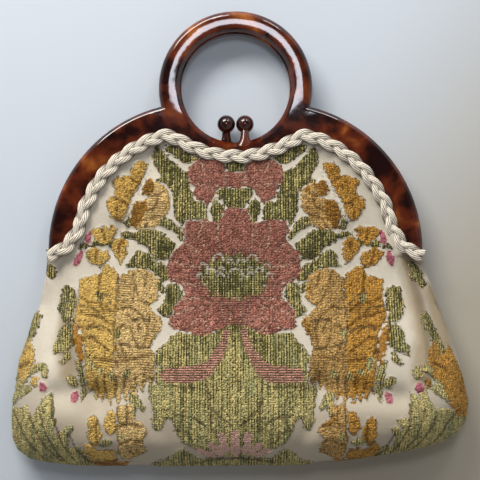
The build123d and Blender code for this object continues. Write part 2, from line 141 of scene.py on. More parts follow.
class BagColours(bpy.types.PropertyGroup):
    """Colours of cloth, pile, braid and moulding, as linear values."""

    ground: colour("Ground", "Cream satin ground", (0.50, 0.445, 0.350))
    rose: colour("Rose", "Rose pile", (0.305, 0.112, 0.076))
    pink: colour("Pink", "Pink pile of ribbons", (0.50, 0.245, 0.175))
    bud: colour("Bud", "Pile of the small buds", (0.32, 0.095, 0.115))
    leaf_dark: colour("Leaf dark", "Dark stripe of the leaves", (0.045, 0.042, 0.015))
    leaf_middle: colour("Leaf middle", "Middle tone of the leaves", (0.155, 0.132, 0.034))
    leaf_light: colour("Leaf light", "Light stripe of the leaves", (0.64, 0.51, 0.20))
    gold: colour("Gold", "Gold pile", (0.50, 0.320, 0.085))
    amber: colour("Amber", "Amber pile", (0.335, 0.155, 0.022))
    tan: colour("Tan", "Tan pile", (0.54, 0.365, 0.145))
    braid: colour("Braid", "Ivory thread", (0.78, 0.70, 0.56))
    lining: colour("Lining", "Lining cloth", (0.42, 0.33, 0.22))
    shell_dark: colour("Shell dark", "Dark mottle of the moulding", (0.010, 0.0018, 0.0012))
    shell_red: colour("Shell red", "Red-brown mottle of the moulding", (0.092, 0.016, 0.0045))
    shell_amber: colour("Shell amber", "Amber mottle of the moulding", (0.30, 0.090, 0.015))


class StageSettings(bpy.types.PropertyGroup):
    """Floor, lamps and camera."""

    floor_left: colour("Floor left", "Floor colour at the left", (0.495, 0.535, 0.575))
    # Painted shade: darker, warmer floor at the right of the bag and below it
    floor_right_painted_shade: colour("Floor right", "Floor colour at the right", (0.37, 0.330, 0.255))
    camera_height: bpy.props.FloatProperty(
        name="Camera height", description="Height of the camera over the frame's face", default=0.95,
        unit="LENGTH")
    view_width: bpy.props.FloatProperty(
        name="View width", description="Width that the picture takes in at the frame's face",
        default=0.3552, unit="LENGTH")
    key_power: bpy.props.FloatProperty(
        name="Key power", description="Power of the key lamp", default=17.5, unit="POWER")
    window_power: bpy.props.FloatProperty(
        name="Window power", description="Power of the small lamp overhead", default=1.9, unit="POWER")
    side_power: bpy.props.FloatProperty(
        name="Side power", description="Power of the lamp at the right", default=2.6, unit="POWER")
    fill_power: bpy.props.FloatProperty(
        name="Fill power", description="Power of the fill lamp", default=1.6, unit="POWER")


def smooth(value):
    """Smooth step from 0 to 1 as the value goes from 0 to 1."""
    step = np.clip(value, 0.0, 1.0)
    return step * step * (3 - 2 * step)


def rounding(gap, reach, power=2):
    """Rise from 0 at a seam to 1 at a reach from it, like a quarter round."""
    return np.sqrt(np.maximum(1 - (1 - np.clip(gap / reach, 0, 1)) ** power, 0))


# Outline of the cloth, in millimetres

FLARE_X = [113.4, 115.8, 120.3, 124.0, 130.2, 138.5, 141.0]
FLARE_Y = [15.0, 7.6, 0.1, -5.9, -9.7, -12.7, -13.5]
EDGE_END_X = 138.5
EDGE_SPACING = 6.0
CLOTH_ACROSS, CLOTH_ALONG = 330, 238
SIDES_MEET_Y = HINGE_Y - 4
OPEN_SIDE = 40.0
SIDE_CROWDING, BASE_CROWDING = 0.13, 0.03


def edge_height(x):
    """Y of the cloth's free edge under the braid: two side arcs, the dip between them, and the flare."""
    a = np.abs(x)
    side = HINGE_Y + np.sqrt(np.maximum(SEW_RADIUS**2 - np.maximum(a - SEW_CENTRE_X, 0) ** 2, 0))
    dip = DIP_Y - np.sqrt(np.maximum(DIP_RADIUS**2 - np.minimum(a, DIP_RADIUS - 1) ** 2, 0))
    arc = -DIP_SOFTNESS * np.log(np.exp(-side / DIP_SOFTNESS) + np.exp(-dip / DIP_SOFTNESS))
    return np.where(a > FLARE_X[0], np.interp(a, FLARE_X, FLARE_Y), arc)


def edge_line(step):
    """Points along the free edge from the left end to the right end, evenly spaced."""
    x = np.linspace(-EDGE_END_X, EDGE_END_X, 2001)
    y = edge_height(x)
    run = np.concatenate([[0], np.cumsum(np.hypot(np.diff(x), np.diff(y)))])
    places = np.linspace(0, run[-1], int(run[-1] / step) + 1)
    return np.stack([np.interp(places, run, x), np.interp(places, run, y)], axis=1)


SIDE_Y = [-168.0, -150.0, -135.0, -120.0, -105.0, -90.0, -75.0, -60.0, -46.0, -31.0, -20.0, -13.0, 90.0]
LEFT_HALF = [165.4, 165.4, 165.4, 164.7, 162.4, 159.5, 154.0, 150.0, 144.5, 141.5, 140.6, 140.2, 140.2]
RIGHT_HALF = [172.0, 172.0, 172.3, 172.5, 169.0, 166.0, 161.0, 155.0, 149.5, 144.0, 139.5, 138.5, 138.5]
BASE_X = [-165.4, -164.6, -160.5, -152.0, -140.0, -115.0, -60.0, 48.0, 90.0, 127.0, 147.0, 160.0,
          169.0, 172.0]
BASE_Y = [-138.0, -149.0, -157.0, -162.5, -165.0, -167.5, -168.0, -167.0, -162.5, -156.5, -152.0, -147.0,
          -137.0, -126.0]


def half_width(y, side):
    """Half-width of the bag at a height, for the left or the right side."""
    table = LEFT_HALF if side < 0 else RIGHT_HALF
    return np.interp(y, SIDE_Y, table)


def side_distance(y, s):
    """Distance from the nearer side, for shares of the half-width from -1 to 1."""
    return np.where(s < 0, (1 + s) * half_width(y, -1), (1 - s) * half_width(y, 1))


def seam_distance(y, s, low):
    """Distance from the side or base seam of a sheet that is open above the hinge line."""
    side = np.where(y > SIDES_MEET_Y, OPEN_SIDE, side_distance(y, s))
    return np.minimum(side, np.maximum(y - low, 0))


def outline_grid(step):
    """Grid of the cloth: columns fan out with the sides, and rows run from the base to the edge.

    Gives X and Y, each column's share of the half-width, and the base's Y in each column. The columns
    crowd towards the sides and the rows towards the base, where the cloth turns down.
    """
    columns = int(CLOTH_ACROSS / step)
    rows = int(CLOTH_ALONG / step)
    t = np.linspace(-1, 1, columns + 1)
    across = t * (1 + SIDE_CROWDING) - SIDE_CROWDING * np.sign(t) * np.abs(t) ** 9
    s, v = np.meshgrid(across, np.linspace(0, 1, rows + 1))
    v = v**2 / (v + BASE_CROWDING) * (1 + BASE_CROWDING)
    base_x = np.where(s < 0, s * LEFT_HALF[0], s * RIGHT_HALF[0])
    low = np.interp(base_x, BASE_X, BASE_Y)
    top_x = np.where(s < 0, s * LEFT_HALF[-1], s * RIGHT_HALF[-1])
    high = edge_height(top_x)
    y = low + (high - low) * v
    x = np.where(s < 0, s * half_width(y, -1), s * half_width(y, 1))
    return x, y, s, low


# Creases and hollows: line, half-width and height in millimetres, read from the photo's shading
FOLDS = [
    ([(-138, -22), (-133, -50), (-128, -80), (-100, -118)], 11, -7.0),
    ([(-143, -34), (-150, -66), (-156, -100)], 6, 2.5),
    ([(-128, -112), (-100, -113), (-78, -108)], 9, -6.0),
    ([(64, -106), (90, -110), (118, -114)], 9, -6.0),
    ([(116, 2), (121, -14), (131, -42), (137, -80), (136, -98)], 4.5, 4.0),
    ([(133, -14), (143, -42), (152, -84)], 7, -7.0),
    ([(-60, 66), (-64, 50), (-82, 12), (-90, -8)], 6, -2.4),
    ([(-84, 6), (-92, -30), (-96, -60)], 9, -2.5),
    ([(62, 64), (70, 50), (90, 18), (102, -10)], 6, -2.4),
    ([(84, 4), (92, -30), (96, -60)], 9, -2.5),
    ([(-60, -100), (-58, -125), (-48, -150)], 7, -3.0),
    ([(60, -100), (56, -130), (46, -150)], 7, -3.0),
    ([(-110, -150), (-70, -148), (-30, -152)], 10, 2.5),
    ([(40, -148), (90, -146), (140, -140)], 10, 2.5),
    ([(-20, 50), (-24, 0), (-30, -60)], 16, 1.2),
    ([(30, 40), (34, -10), (28, -80)], 16, 1.0),
]


def line_distance(x, y, points):
    """Distance from each place to a chain of points."""
    best = np.full(np.shape(x), 1e9)
    for (ax, ay), (bx, by) in zip(points[:-1], points[1:]):
        along_x, along_y = bx - ax, by - ay
        share = ((x - ax) * along_x + (y - ay) * along_y) / (along_x**2 + along_y**2)
        share = np.clip(share, 0, 1)
        best = np.minimum(best, np.hypot(x - ax - share * along_x, y - ay - share * along_y))
    return best


def wave_noise(x, y, scale, seed):
    """Smooth noise from a few crossed waves, from about -1 to 1, the same each run."""
    draw = np.random.default_rng(seed)
    total = np.zeros(np.shape(x))
    for _ in range(9):
        angle = draw.uniform(0, 2 * math.pi)
        pitch = scale * draw.uniform(0.6, 1.6)
        phase = draw.uniform(0, 2 * math.pi)
        total += np.sin(2 * math.pi * (x * math.cos(angle) + y * math.sin(angle)) / pitch + phase)
    return total / 4.5


BELLY_SLOPE, MOUTH_SLOPE = 125, 62
EDGE_CLEARANCE = 0.3
BASE_SHARE, BASE_ROUNDING = 0.8, 2.2
BRAID_COVER = 4
OPENING_REACH, OPENING_SHARE = 40, 0.35
RIPPLE, RIPPLE_PITCH, RIPPLE_FADE = 0.5, 38, 20


def front_height(x, y, s, low, shape):
    """Height of the front cloth: up from the frame's face, over the belly and down to the seam."""
    mouth = shape.mouth_rise / MM
    belly = shape.belly_rise / MM
    rim = shape.rim_height / MM
    reach = shape.shoulder / MM
    inside = line_distance(x, y, edge_line(EDGE_SPACING))
    full = mouth + belly * smooth((HINGE_Y - y) / BELLY_SLOPE)
    crown = FACE_Z + EDGE_CLEARANCE + full * smooth((inside - BRAID_COVER) / MOUTH_SLOPE)
    opening = np.maximum(y - HINGE_Y + OPENING_REACH, 0) * OPENING_SHARE
    side_gap = np.where(y > SIDES_MEET_Y, reach, side_distance(y, s) + opening)
    base_gap = np.maximum(y - low, 0)
    pillow = rounding(side_gap, reach) * rounding(base_gap, reach * BASE_SHARE, BASE_ROUNDING)
    height = rim + (crown - rim) * pillow
    for points, width, depth in FOLDS:
        fold = np.exp(-((line_distance(x, y, points) / width) ** 2))
        height += depth * fold * pillow
    ripple = RIPPLE * wave_noise(x, y, RIPPLE_PITCH, SEED)
    return height + ripple * pillow * smooth(inside / RIPPLE_FADE)


# Flower pattern: shapes for the left half in millimetres, mirrored by the weave

MIDDLE_OVERLAP = 5.0


def ellipse(x, y, cx, cy, rx, ry, turn=0.0):
    """Signed depth inside an ellipse, in millimetres, turned by degrees."""
    c, s = math.cos(math.radians(turn)), math.sin(math.radians(turn))
    px = (x - cx) * c + (y - cy) * s
    py = (y - cy) * c - (x - cx) * s
    near = np.hypot(px / rx, py / ry)
    slope = np.hypot(px / rx**2, py / ry**2) + 1e-9
    return near * (1 - near) / slope


def polygon(x, y, points):
    """Signed depth inside a closed outline; points on the middle line reach past it."""
    points = [(MIDDLE_OVERLAP if px == 0 else px, py) for px, py in points]
    away = line_distance(x, y, points + points[:1])
    inside = np.zeros(np.shape(x), bool)
    for (ax, ay), (bx, by) in zip(points, points[1:] + points[:1]):
        if ay == by:
            continue
        crosses = (ay > y) != (by > y)
        inside ^= crosses & (x < (bx - ax) * (y - ay) / (by - ay) + ax)
    return np.where(inside, away, -away)


def stroke(x, y, points, width):
    """Signed depth inside a line of a width."""
    return width / 2 - line_distance(x, y, points)


LEAF_SHAPES = [
    [(-60, 65), (-61, 60), (-60, 54), (-57, 49), (-55, 45.5), (-60, 43.5), (-56, 41), (-52, 40.5),
     (-49, 37), (-46.5, 32), (-46, 24), (-45, 18), (-42, 13), (-39, 9), (-37, 13), (-20, 14),
     (-21, 22), (-23, 27), (-29, 27), (-31, 30), (-31.5, 34), (-33.5, 36), (-33, 40), (-35, 49),
     (-38, 50), (-42, 52), (-46, 56), (-50, 60), (-55, 65), (-58, 69)],
    [(-53, 69), (-46, 69), (-42, 66.5), (-36, 64), (-28, 60), (-30, 57), (-33, 55.5), (-39, 56),
     (-44, 60), (-50, 64)],
    [(-7, 56), (0, 57), (0, 49.5), (-5, 49.5)],
    [(-19, 22), (-17.5, 27), (-14, 30), (-11, 25), (-8, 22.5), (-9, 19), (-13, 10), (-16, 14)],
    [(-13.5, 34), (-11, 37), (0, 37), (0, 23), (-6, 22), (-9, 27)],
    [(-53, 17), (-46, 13), (-43, 9), (-39, 5), (-38.5, 0), (-40, -1), (-43, 3), (-47, 6), (-57, 10)],
    [(-77, 3), (-70, 6), (-64, 7.5), (-60, 7), (-55, 5), (-50, 1), (-44, -4), (-45, -8), (-48, -13),
     (-51, -15.5), (-57, -15), (-61, -13), (-64, -9), (-65, -5.5), (-69, -4.5), (-73, -2)],
    [(-82, -21), (-78, -18), (-75, -12), (-71, -8.5), (-66, -9.5), (-60, -15), (-55, -18), (-51, -20),
     (-49, -26), (-49, -30), (-53, -31), (-58, -26), (-62, -23), (-70, -22), (-76, -21)],
    [(-50, -33), (-44, -33), (-41, -35), (-38, -40), (-42, -46), (-45, -52), (-46, -57), (-50, -57),
     (-54, -55), (-57, -52), (-54, -49), (-51, -45), (-50.5, -40)],
    [(-58, -31), (-54, -31), (-52, -36), (-53, -40), (-58, -37)],
    [(-42, -68), (-30, -69.5), (-16, -68), (-9, -64), (-10, -74), (-13, -79), (-17, -83), (-20, -87),
     (-27, -91), (-40, -92), (-50, -92), (-60, -89), (-60, -86), (-52, -77), (-47, -72)],
    [(-63, -105), (-62, -114), (-59, -123), (-60, -131), (-57, -137), (-53, -137), (-50, -129),
     (-48.5, -127.5), (-45, -131), (-42, -139), (-38, -146), (-32, -149.5), (-27, -152), (-20, -157),
     (0, -158), (0, -60), (-5, -62), (-6, -75), (-9, -84), (-14, -94), (-20, -101), (-30, -105)],
    [(-62, -167), (-60, -163), (-50, -160), (-45, -156), (-41, -151), (-37, -151), (-33, -154),
     (-28, -159), (-10, -159), (0, -158), (0, -174), (-62, -174)],
    [(-128, -36), (-122, -35), (-119, -37), (-117.5, -41), (-117, -48), (-119, -54), (-118, -60),
     (-121, -62), (-126, -60), (-129, -56), (-131, -51), (-130, -45)],
    [(-127, -65), (-122, -62), (-118, -62), (-117, -70), (-118, -77), (-124, -82), (-132, -84),
     (-133, -81), (-130, -75), (-129, -69)],
    [(-124, -83), (-120, -82), (-119, -86), (-122, -89), (-126, -92), (-128, -90), (-125, -87)],
    [(-166, -124), (-160, -124), (-151, -121), (-147, -129), (-144, -125), (-140, -118), (-137, -113),
     (-132.5, -110), (-132, -115), (-130, -124), (-129, -130), (-131, -138), (-130, -145), (-128, -141),
     (-124, -137), (-120, -134), (-116, -135), (-119, -141), (-120, -149), (-117, -152), (-114, -149),
     (-111, -150), (-109, -158), (-104, -160), (-88, -163), (-80, -166), (-80, -178), (-182, -178),
     (-182, -130)],
    [(-77, -110), (-73, -109), (-69, -114), (-65, -121), (-66, -124), (-70, -121), (-72, -128),
     (-74, -130), (-75, -121)],
    [(-116, -88), (-111, -88), (-108, -100), (-108, -112), (-110, -118), (-112, -112), (-113, -100)],
    [(-86, 4), (-80, 5), (-75, 4), (-73, 0), (-79, 0), (-85, 1)],
]
LEAF_SPOTS = [
    (-101, -3.5, 6, 2.4, 10), (-92, -2, 3, 4, 0), (-137, -25, 3.5, 5, 10), (-118, -103, 3, 5, 35),
    (-138, -96, 3, 5, 10), (-93, -146, 4.5, 3, 0), (-80, 13, 3, 6, 20), (-112, -5, 4, 2, 20),
]
ROSE_SHAPES = [
    [(-34, 53), (-30, 57), (-26, 58.5), (-14, 59), (-8, 57), (-7, 51), (-3, 49), (0, 49), (0, 37),
     (-10, 38), (-14, 36), (-16, 32), (-19, 28), (-21, 25), (-24, 28), (-29, 30), (-31, 33),
     (-30, 37), (-33, 40), (-34.5, 44), (-35, 48)],
    [(0, 23), (-6, 22), (-9, 20), (-10, 16), (-12, 11), (-16, 12.5), (-24, 13.5), (-35, 13),
     (-37, 12), (-38.5, 4), (-37, 0), (-38, -3), (-41, -5), (-44, -8), (-47, -11), (-48.5, -15),
     (-50.5, -24), (-49, -28), (-46, -31), (-40, -33), (-38, -36), (-36, -40), (-38, -44), (-42, -47),
     (-45, -50), (-46, -56), (-48, -60), (-48, -64), (-44, -66), (-38, -66), (-33, -67), (-28, -69.5),
     (-22, -69.5), (-14, -66), (-8, -64), (0, -60)],
]
ROSE_SEAMS = [
    [(-9, 20), (-12.5, 11), (-13, 2), (-11, -7)], [(-25, 13), (-26, 3), (-23, -7)],
    [(-37.5, 7), (-37, -2), (-28, -10)], [(-47, -15), (-37, -20), (-28, -21)],
    [(-46, -30), (-36, -33), (-27, -35)], [(-41, -44), (-29, -44), (-20, -44)],
    [(-46, -57), (-33, -51), (-21, -49)], [(-10, -46), (-8, -66)], [(-35, -66), (-28, -58)],
    [(-31, 41), (-21, 39), (-13, 38)], [(-8, 56), (-7, 45), (-9, 37)], [(-26, 58), (-22, 48)],
    [(-20, -50), (-22, -60), (-20, -69)], [(-4, -46), (-4, -61)],
]
GOLD_SHAPES = [
    [(-78, 46), (-77, 50), (-75, 54), (-72, 57), (-65, 55), (-66, 50), (-70, 44), (-70, 40), (-75, 34),
     (-78, 29), (-80, 22), (-81, 17), (-84, 13), (-88, 13.5), (-92, 17), (-95, 22), (-95.5, 27),
     (-94, 30.5), (-90, 31), (-89, 35), (-90, 39), (-92, 42), (-88, 45), (-82, 46)],
    [(-107, 5), (-103, 8), (-98, 9), (-94, 8), (-91, 10), (-88, 7), (-90, 2), (-93, -2), (-97, -4),
     (-101, -2), (-104, 1)],
    [(-111, -9), (-107, -8), (-103, -7), (-99, -9), (-95, -9), (-93, -13), (-96, -19), (-100, -21),
     (-103, -20), (-107, -19), (-110, -14)],
    [(-91, -3), (-88, 0), (-84, 1), (-80, -2), (-79, -7), (-80, -12), (-84, -19), (-87, -16),
     (-90, -11), (-92, -7)],
    [(-115, -30), (-106, -28), (-102, -27), (-99, -25), (-98, -21), (-94, -20), (-90, -22), (-87, -25),
     (-85, -29), (-86, -50), (-86, -80), (-87, -112), (-90, -119), (-93, -112), (-95.5, -118),
     (-98, -111), (-101, -116.5), (-103.5, -108), (-106.5, -112), (-107, -103), (-108, -95),
     (-109, -88), (-110, -80), (-110, -74), (-111, -68), (-114, -63), (-117, -60), (-117.5, -56),
     (-116, -50), (-115, -45)],
    [(-105, -130), (-102, -127), (-99, -129), (-97, -133), (-95, -140), (-97, -145), (-100, -148),
     (-104, -146), (-106, -141), (-106, -135)],
    [(-93, -129), (-91, -124), (-88, -123), (-85, -126), (-85, -137), (-89, -140), (-92, -138),
     (-94, -134)],
    [(-110, -152), (-106, -146), (-102, -148), (-99, -153), (-93, -151), (-88, -152), (-85, -155),
     (-86, -160), (-93, -162), (-106, -160)],
    [(-147, -100), (-143, -101), (-142, -106), (-145, -108), (-148, -106)],
    [(-152, -74), (-147, -80), (-146, -90), (-150, -100), (-157, -106), (-161, -96), (-157, -84)],
]
GOLD_SEAMS = [
    [(-85.5, -25), (-86, -38), (-87, -53), (-88, -65), (-87, -75), (-84, -86)],
    [(-99, -22), (-101, -38), (-96, -48), (-91, -53)], [(-114, -43), (-107, -47), (-100, -47), (-96, -53)],
    [(-116, -53), (-107, -56), (-100, -57), (-91, -62)], [(-115, -64), (-109, -65), (-103, -63), (-96, -68)],
    [(-111, -72), (-103, -72), (-96, -77), (-88, -83)], [(-101, -87), (-85, -89), (-71, -86), (-58, -83)],
    [(-84, -51), (-77, -50), (-68, -56), (-63, -66), (-66, -77)],
    [(-86, -68), (-81, -63), (-75, -66), (-73.5, -74)], [(-84, -74), (-81, -82), (-78, -87)],
    [(-75, -72), (-71, -78), (-64, -80)], [(-75, -24), (-73.5, -35), (-70, -44), (-62, -49)],
    [(-65, -25), (-66, -35)], [(-109, -82), (-104, -90), (-97, -95)], [(-79, -56), (-72, -60), (-69, -68)],
    [(-100, -101), (-99, -111)], [(-94, -99), (-93, -113)], [(-86, -100), (-86, -114)],
    [(-79.5, -100), (-80, -112)], [(-72, -99), (-73, -109)], [(-66, -96), (-66, -106)],
    [(-79, 46), (-75, 43), (-70, 41)], [(-91, 31), (-86, 28), (-80, 25)], [(-88, 14), (-87, 24)],
    [(-70, 36), (-62, 31), (-56, 32), (-51, 36)], [(-77, 22), (-68, 18), (-60, 22), (-57, 28)],
    [(-66, 8), (-64, 14), (-56, 17)], [(-84, -120), (-84, -135), (-85, -145), (-84, -156)],
    [(-85, -135), (-77, -132), (-67, -134)], [(-84, -148), (-74, -144), (-65, -146)],
    [(-99, -130), (-99, -145)], [(-78, -119), (-77, -130)], [(-104, -146), (-98, -150), (-88, -152)],
    [(-99, 9), (-97, 0)], [(-103, -8), (-103, -18)], [(-150, -90), (-158, -95)],
]
MOSS_SPOTS = [
    (-104, -90, 2.6, 5.5, 25), (-97, -96, 3.2, 2.4, 20), (-89, -99, 2.6, 3.4, 0), (-78, -97, 3, 2.6, 0),
    (-85, -69, 2.4, 3.2, 0), (-100, -43, 2.4, 4, 30), (-93, -146, 4.5, 2.6, 0), (-81, -142, 1.8, 3, 0),
]
TAN_SHAPES = [
    [(-61, 41), (-55, 40.5), (-51, 37), (-49, 32), (-48.5, 24), (-51, 18), (-54, 15), (-57, 10),
     (-63, 7), (-72, 7), (-77, 12), (-78, 21), (-74, 27), (-68, 28), (-64, 30), (-67, 32), (-69, 36),
     (-65, 43)],
    [(-85, -29), (-80, -26), (-76, -23), (-70, -22), (-64, -23), (-59, -27), (-56, -32), (-57, -38),
     (-56, -42), (-60, -47), (-64, -50), (-58, -55), (-54, -58), (-53, -63), (-55, -67), (-58, -71),
     (-60, -75), (-62, -79), (-60, -84), (-58, -90), (-58, -98), (-59, -106), (-63.5, -102), (-66, -110),
     (-70, -105), (-72, -113.5), (-75.5, -108), (-78, -117), (-81.5, -110), (-84, -118.5), (-88, -111),
     (-87, -80), (-87, -50)],
    [(-85, -120), (-80, -119), (-75, -118), (-73, -121), (-74, -126), (-71, -129), (-67, -132),
     (-63, -137), (-65, -141), (-67, -144), (-65, -148), (-64, -153), (-67, -155), (-71, -156),
     (-76, -159), (-81, -160), (-84, -155), (-84, -150), (-85, -143), (-84, -135), (-84, -128)],
]
ROW_SPOTS = [
    (-81, -37, 7, 16), (-80, -88, 24, 5), (-61, -68, 5, 14), (0, -55, 12, 12), (0, -30, 34, 21),
    (-62, -97, 5, 9), (-66, 38, 8, 6), (-100, -53, 12, 4), (-57, 22, 6, 10), (-68, -150, 6, 7),
]
BROWN_SHAPES = [
    [(-69, 38), (-66, 43), (-62, 44), (-60, 40), (-61, 34), (-66, 31.5), (-69, 33)],
    [(-77, 24), (-73, 27), (-66, 27), (-64, 23), (-67, 16), (-70, 10), (-75, 8), (-78, 14)],
    [(-88, -7), (-85, -2), (-82, 0), (-81, -4), (-84, -9), (-87, -11)],
    [(-107, -162), (-96, -160), (-85, -160), (-76, -161), (-80, -166), (-98, -167)],
    [(-118, -62), (-114, -64), (-110, -75), (-109, -88), (-112, -92), (-115, -80), (-118, -72)],
]
BUD_SHAPES = [
    [(-112, -1), (-110, 4), (-107, 6.5), (-106, 3), (-107, -3), (-110, -5)],
    [(-113, -8), (-116, -10), (-119, -15), (-120, -20), (-117, -20), (-114, -16), (-112.5, -11)],
    [(-119, -112), (-115, -110), (-113, -114), (-115, -118.5), (-118.5, -118)],
    [(-141, -104), (-138, -103), (-135.5, -107), (-137, -111), (-141, -110)],
]
PINK_SHAPES = [
    [(-9, -66), (-4, -66), (-5, -74), (-8, -82), (-12, -90), (-16, -97), (-22, -101), (-30, -104),
     (-42, -104), (-52, -103), (-54, -98), (-50, -92), (-45, -93), (-36, -92), (-28, -91.5),
     (-21, -88), (-17, -83), (-12, -77), (-9, -71)],
]
PINK_PETALS = [([(0, -140), (0, -153)], 6.5), ([(-10, -141), (-7, -152)], 5.5),
               ([(-17.5, -148), (-11, -154)], 5.0), ([(-26, -152), (-16, -156)], 4.5)]
LATTICE_SPOTS = [(0, -28, 27, 17, 0)]
VEINS = [
    ([(-63, 52), (-66, 44), (-71, 37), (-75, 29), (-79, 20), (-82, 14)], 3.0),
    ([(-74, 34), (-69, 31), (-62, 30)], 1.6), ([(-3, -43), (3, -43)], 1.2),
]
LOOPS = [(-12.5, -15, 3.4), (-18, -24, 2.6), (-10.5, -23, 2.0), (-11, -28, 2.7), (0, -27, 5.2),
         (-23.5, -21, 2.8), (-26, -28, 2.3), (-22.5, -34, 0.8), (-4, -17, 2.4)]
INK_LINES = [
    [(-20, -103), (-19, -118), (-17, -138)], [(-43, -126), (-30, -128), (-22, -133)],
    [(-44, -137), (-34, -138), (-30, -147)], [(-19, -120), (-10, -128), (-4, -133)],
    [(-30, -163), (-20, -160.5), (-8, -159), (0, -158.5)], [(-117, -49), (-106, -50), (-100, -55)],
    [(-104, -40), (-95, -42), (-90, -48)], [(-40, -110), (-36, -124), (-40, -136)],
    [(-76, -60), (-70, -58), (-62, -60)], [(-83, -76), (-74, -79), (-62, -79)],
    [(-108, -66), (-98, -64), (-90, -68)], [(-62, -100), (-50, -106), (-30, -107)],
    [(-148, -128), (-140, -146), (-126, -162)],
    [(-132, -118), (-128, -138), (-117, -160)], [(-162, -127), (-152, -144), (-140, -160)],
    [(-119, -140), (-114, -152), (-106, -161)], [(-141, -122), (-135, -142), (-124, -162)],
]
# Not mirrored: the painted shade beside the folds, and what grows at the right side only
SHADED_FOLDS = [[(127, -14), (133, -40), (137, -70), (134, -98)], [(146, -40), (152, -66), (156, -90)],
                [(-121, -46), (-124, -72), (-121, -96)]]
RIGHT_GOLD = [[(151, -84), (156, -79), (163, -92), (168, -105), (172, -120), (169, -131), (160, -128),
               (154, -118), (150, -105), (149, -94)]]
RIGHT_LEAVES = [
    [(131, -108), (136, -107), (140, -118), (146, -124), (150, -135), (150, -146), (130, -146),
     (128, -135), (132, -125)],
    [(116, -129), (121, -128), (127, -134), (131, -145), (132, -156), (120, -157), (122, -145),
     (120, -136)],
    [(127, -17), (133, -18), (138, -25), (142, -34), (139, -37), (134, -32), (130, -26)],
]
# Mirrored again
SIDE_LEAVES = [([(-146, -58), (-155, -78), (-165, -100)], 7), ([(-143, -93), (-150, -97), (-160, -110)], 5),
               ([(-150, -108), (-158, -114), (-170, -122)], 5), ([(-150, -86), (-156, -97), (-164, -106)], 3)]
INK_WIDTH, SHADE_WIDTH, LOOP_HALF_WIDTH, RIBBON_GROUND = 1.9, 14, 0.75, 4.0
PILE_LAYERS = ("leaf", "gold", "tan", "brown", "rose", "bud", "pink")


def any_shape(x, y, shapes):
    """Greatest depth in a set of closed outlines."""
    return np.maximum.reduce([polygon(x, y, points) for points in shapes])


def any_spot(x, y, spots):
    """Greatest depth in a set of ellipses."""
    return np.maximum.reduce([ellipse(x, y, *spot) for spot in spots])


def any_stroke(x, y, strokes):
    """Greatest depth in a set of lines, each with its width."""
    return np.maximum.reduce([stroke(x, y, points, width) for points, width in strokes])


def nearest(x, y, lines):
    """Distance to the nearest of several lines."""
    return np.minimum.reduce([line_distance(x, y, points) for points in lines])


def pattern(x, y):
    """Depth in millimetres inside each colour of the pattern, positive where the colour is.

    The outlines waver a little, and the right half is drawn in towards the middle low down.
    """
    bent_x = x + 0.5 * wave_noise(x, y, 16, 3) + 0.35 * wave_noise(x, y, 4, 4)
    y = y + 0.5 * wave_noise(x, y, 15, 5) + 0.35 * wave_noise(x, y, 4, 6)
    drawn_in = 7 * smooth((-4 - y) / 34) * smooth(bent_x / 85) * (1 - 0.3 * smooth((-100 - y) / 30))
    x = -np.abs(bent_x + drawn_in)
    ribbons = any_shape(x, y, PINK_SHAPES)
    layers = {
        "leaf": np.maximum.reduce([
            any_shape(x, y, LEAF_SHAPES), any_shape(bent_x, y, RIGHT_LEAVES), any_spot(x, y, LEAF_SPOTS),
            any_stroke(x, y, SIDE_LEAVES), ribbons + RIBBON_GROUND]),
        "gold": np.maximum(any_shape(x, y, GOLD_SHAPES), any_shape(bent_x, y, RIGHT_GOLD)),
        "tan": any_shape(x, y, TAN_SHAPES),
        "brown": any_shape(x, y, BROWN_SHAPES),
        "moss": any_spot(x, y, MOSS_SPOTS),
        "rose": any_shape(x, y, ROSE_SHAPES),
        "bud": any_shape(x, y, BUD_SHAPES),
        "pink": np.maximum(ribbons, any_stroke(x, y, PINK_PETALS)),
        "lattice": any_spot(x, y, LATTICE_SPOTS),
        "ink": INK_WIDTH / 2 - nearest(x, y, INK_LINES),
        # painted shade beside the side folds, for the ground
        "fold": SHADE_WIDTH / 2 - nearest(bent_x, y, SHADED_FOLDS),
        "vein": any_stroke(x, y, VEINS),
    }
    layers["rows"] = np.maximum(any_spot(x, y, ROW_SPOTS), layers["pink"])
    for cx, cy, radius in LOOPS:
        loop = LOOP_HALF_WIDTH - np.abs(np.hypot(x - cx, y - cy) - radius)
        layers["vein"] = np.maximum(layers["vein"], np.minimum(loop, y - cy + 0.5 * radius))
    layers["seam"] = np.where(layers["rose"] > 0, nearest(x, y, ROSE_SEAMS), nearest(x, y, GOLD_SEAMS))
    return layers


# Mesh helpers


def grid_faces(rows, columns, flip=False):
    """Four-cornered faces of a grid of rows by columns of points."""
    index = np.arange(rows * columns).reshape(rows, columns)
    quads = np.stack([index[:-1, :-1], index[:-1, 1:], index[1:, 1:], index[1:, :-1]], axis=-1)
    if flip:
        quads = quads[..., ::-1]
    return quads.reshape(-1, 4)


def make_mesh(name, points, faces, material):
    """A smooth mesh object from arrays of points in millimetres and faces."""
    mesh = bpy.data.meshes.new(name)
    mesh.from_pydata((np.asarray(points) * MM).tolist(), [], np.asarray(faces).tolist())
    mesh.polygons.foreach_set("use_smooth", np.ones(len(mesh.polygons), bool))
    mesh.materials.append(material)
    mesh.update()
    made = bpy.data.objects.new(name, mesh)
    bpy.context.collection.objects.link(made)
    return made


def store(made, name, values):
    """A number kept at each point of a mesh, for its material."""
    layer = made.data.attributes.new(name, "FLOAT", "POINT")
    layer.data.foreach_set("value", np.asarray(values, np.float32).ravel())


def store_layers(made, layers):
    """The pattern's depths, kept within what the material tells apart."""
    for name, depth in layers.items():
        store(made, name, np.clip(depth, -6, 12))


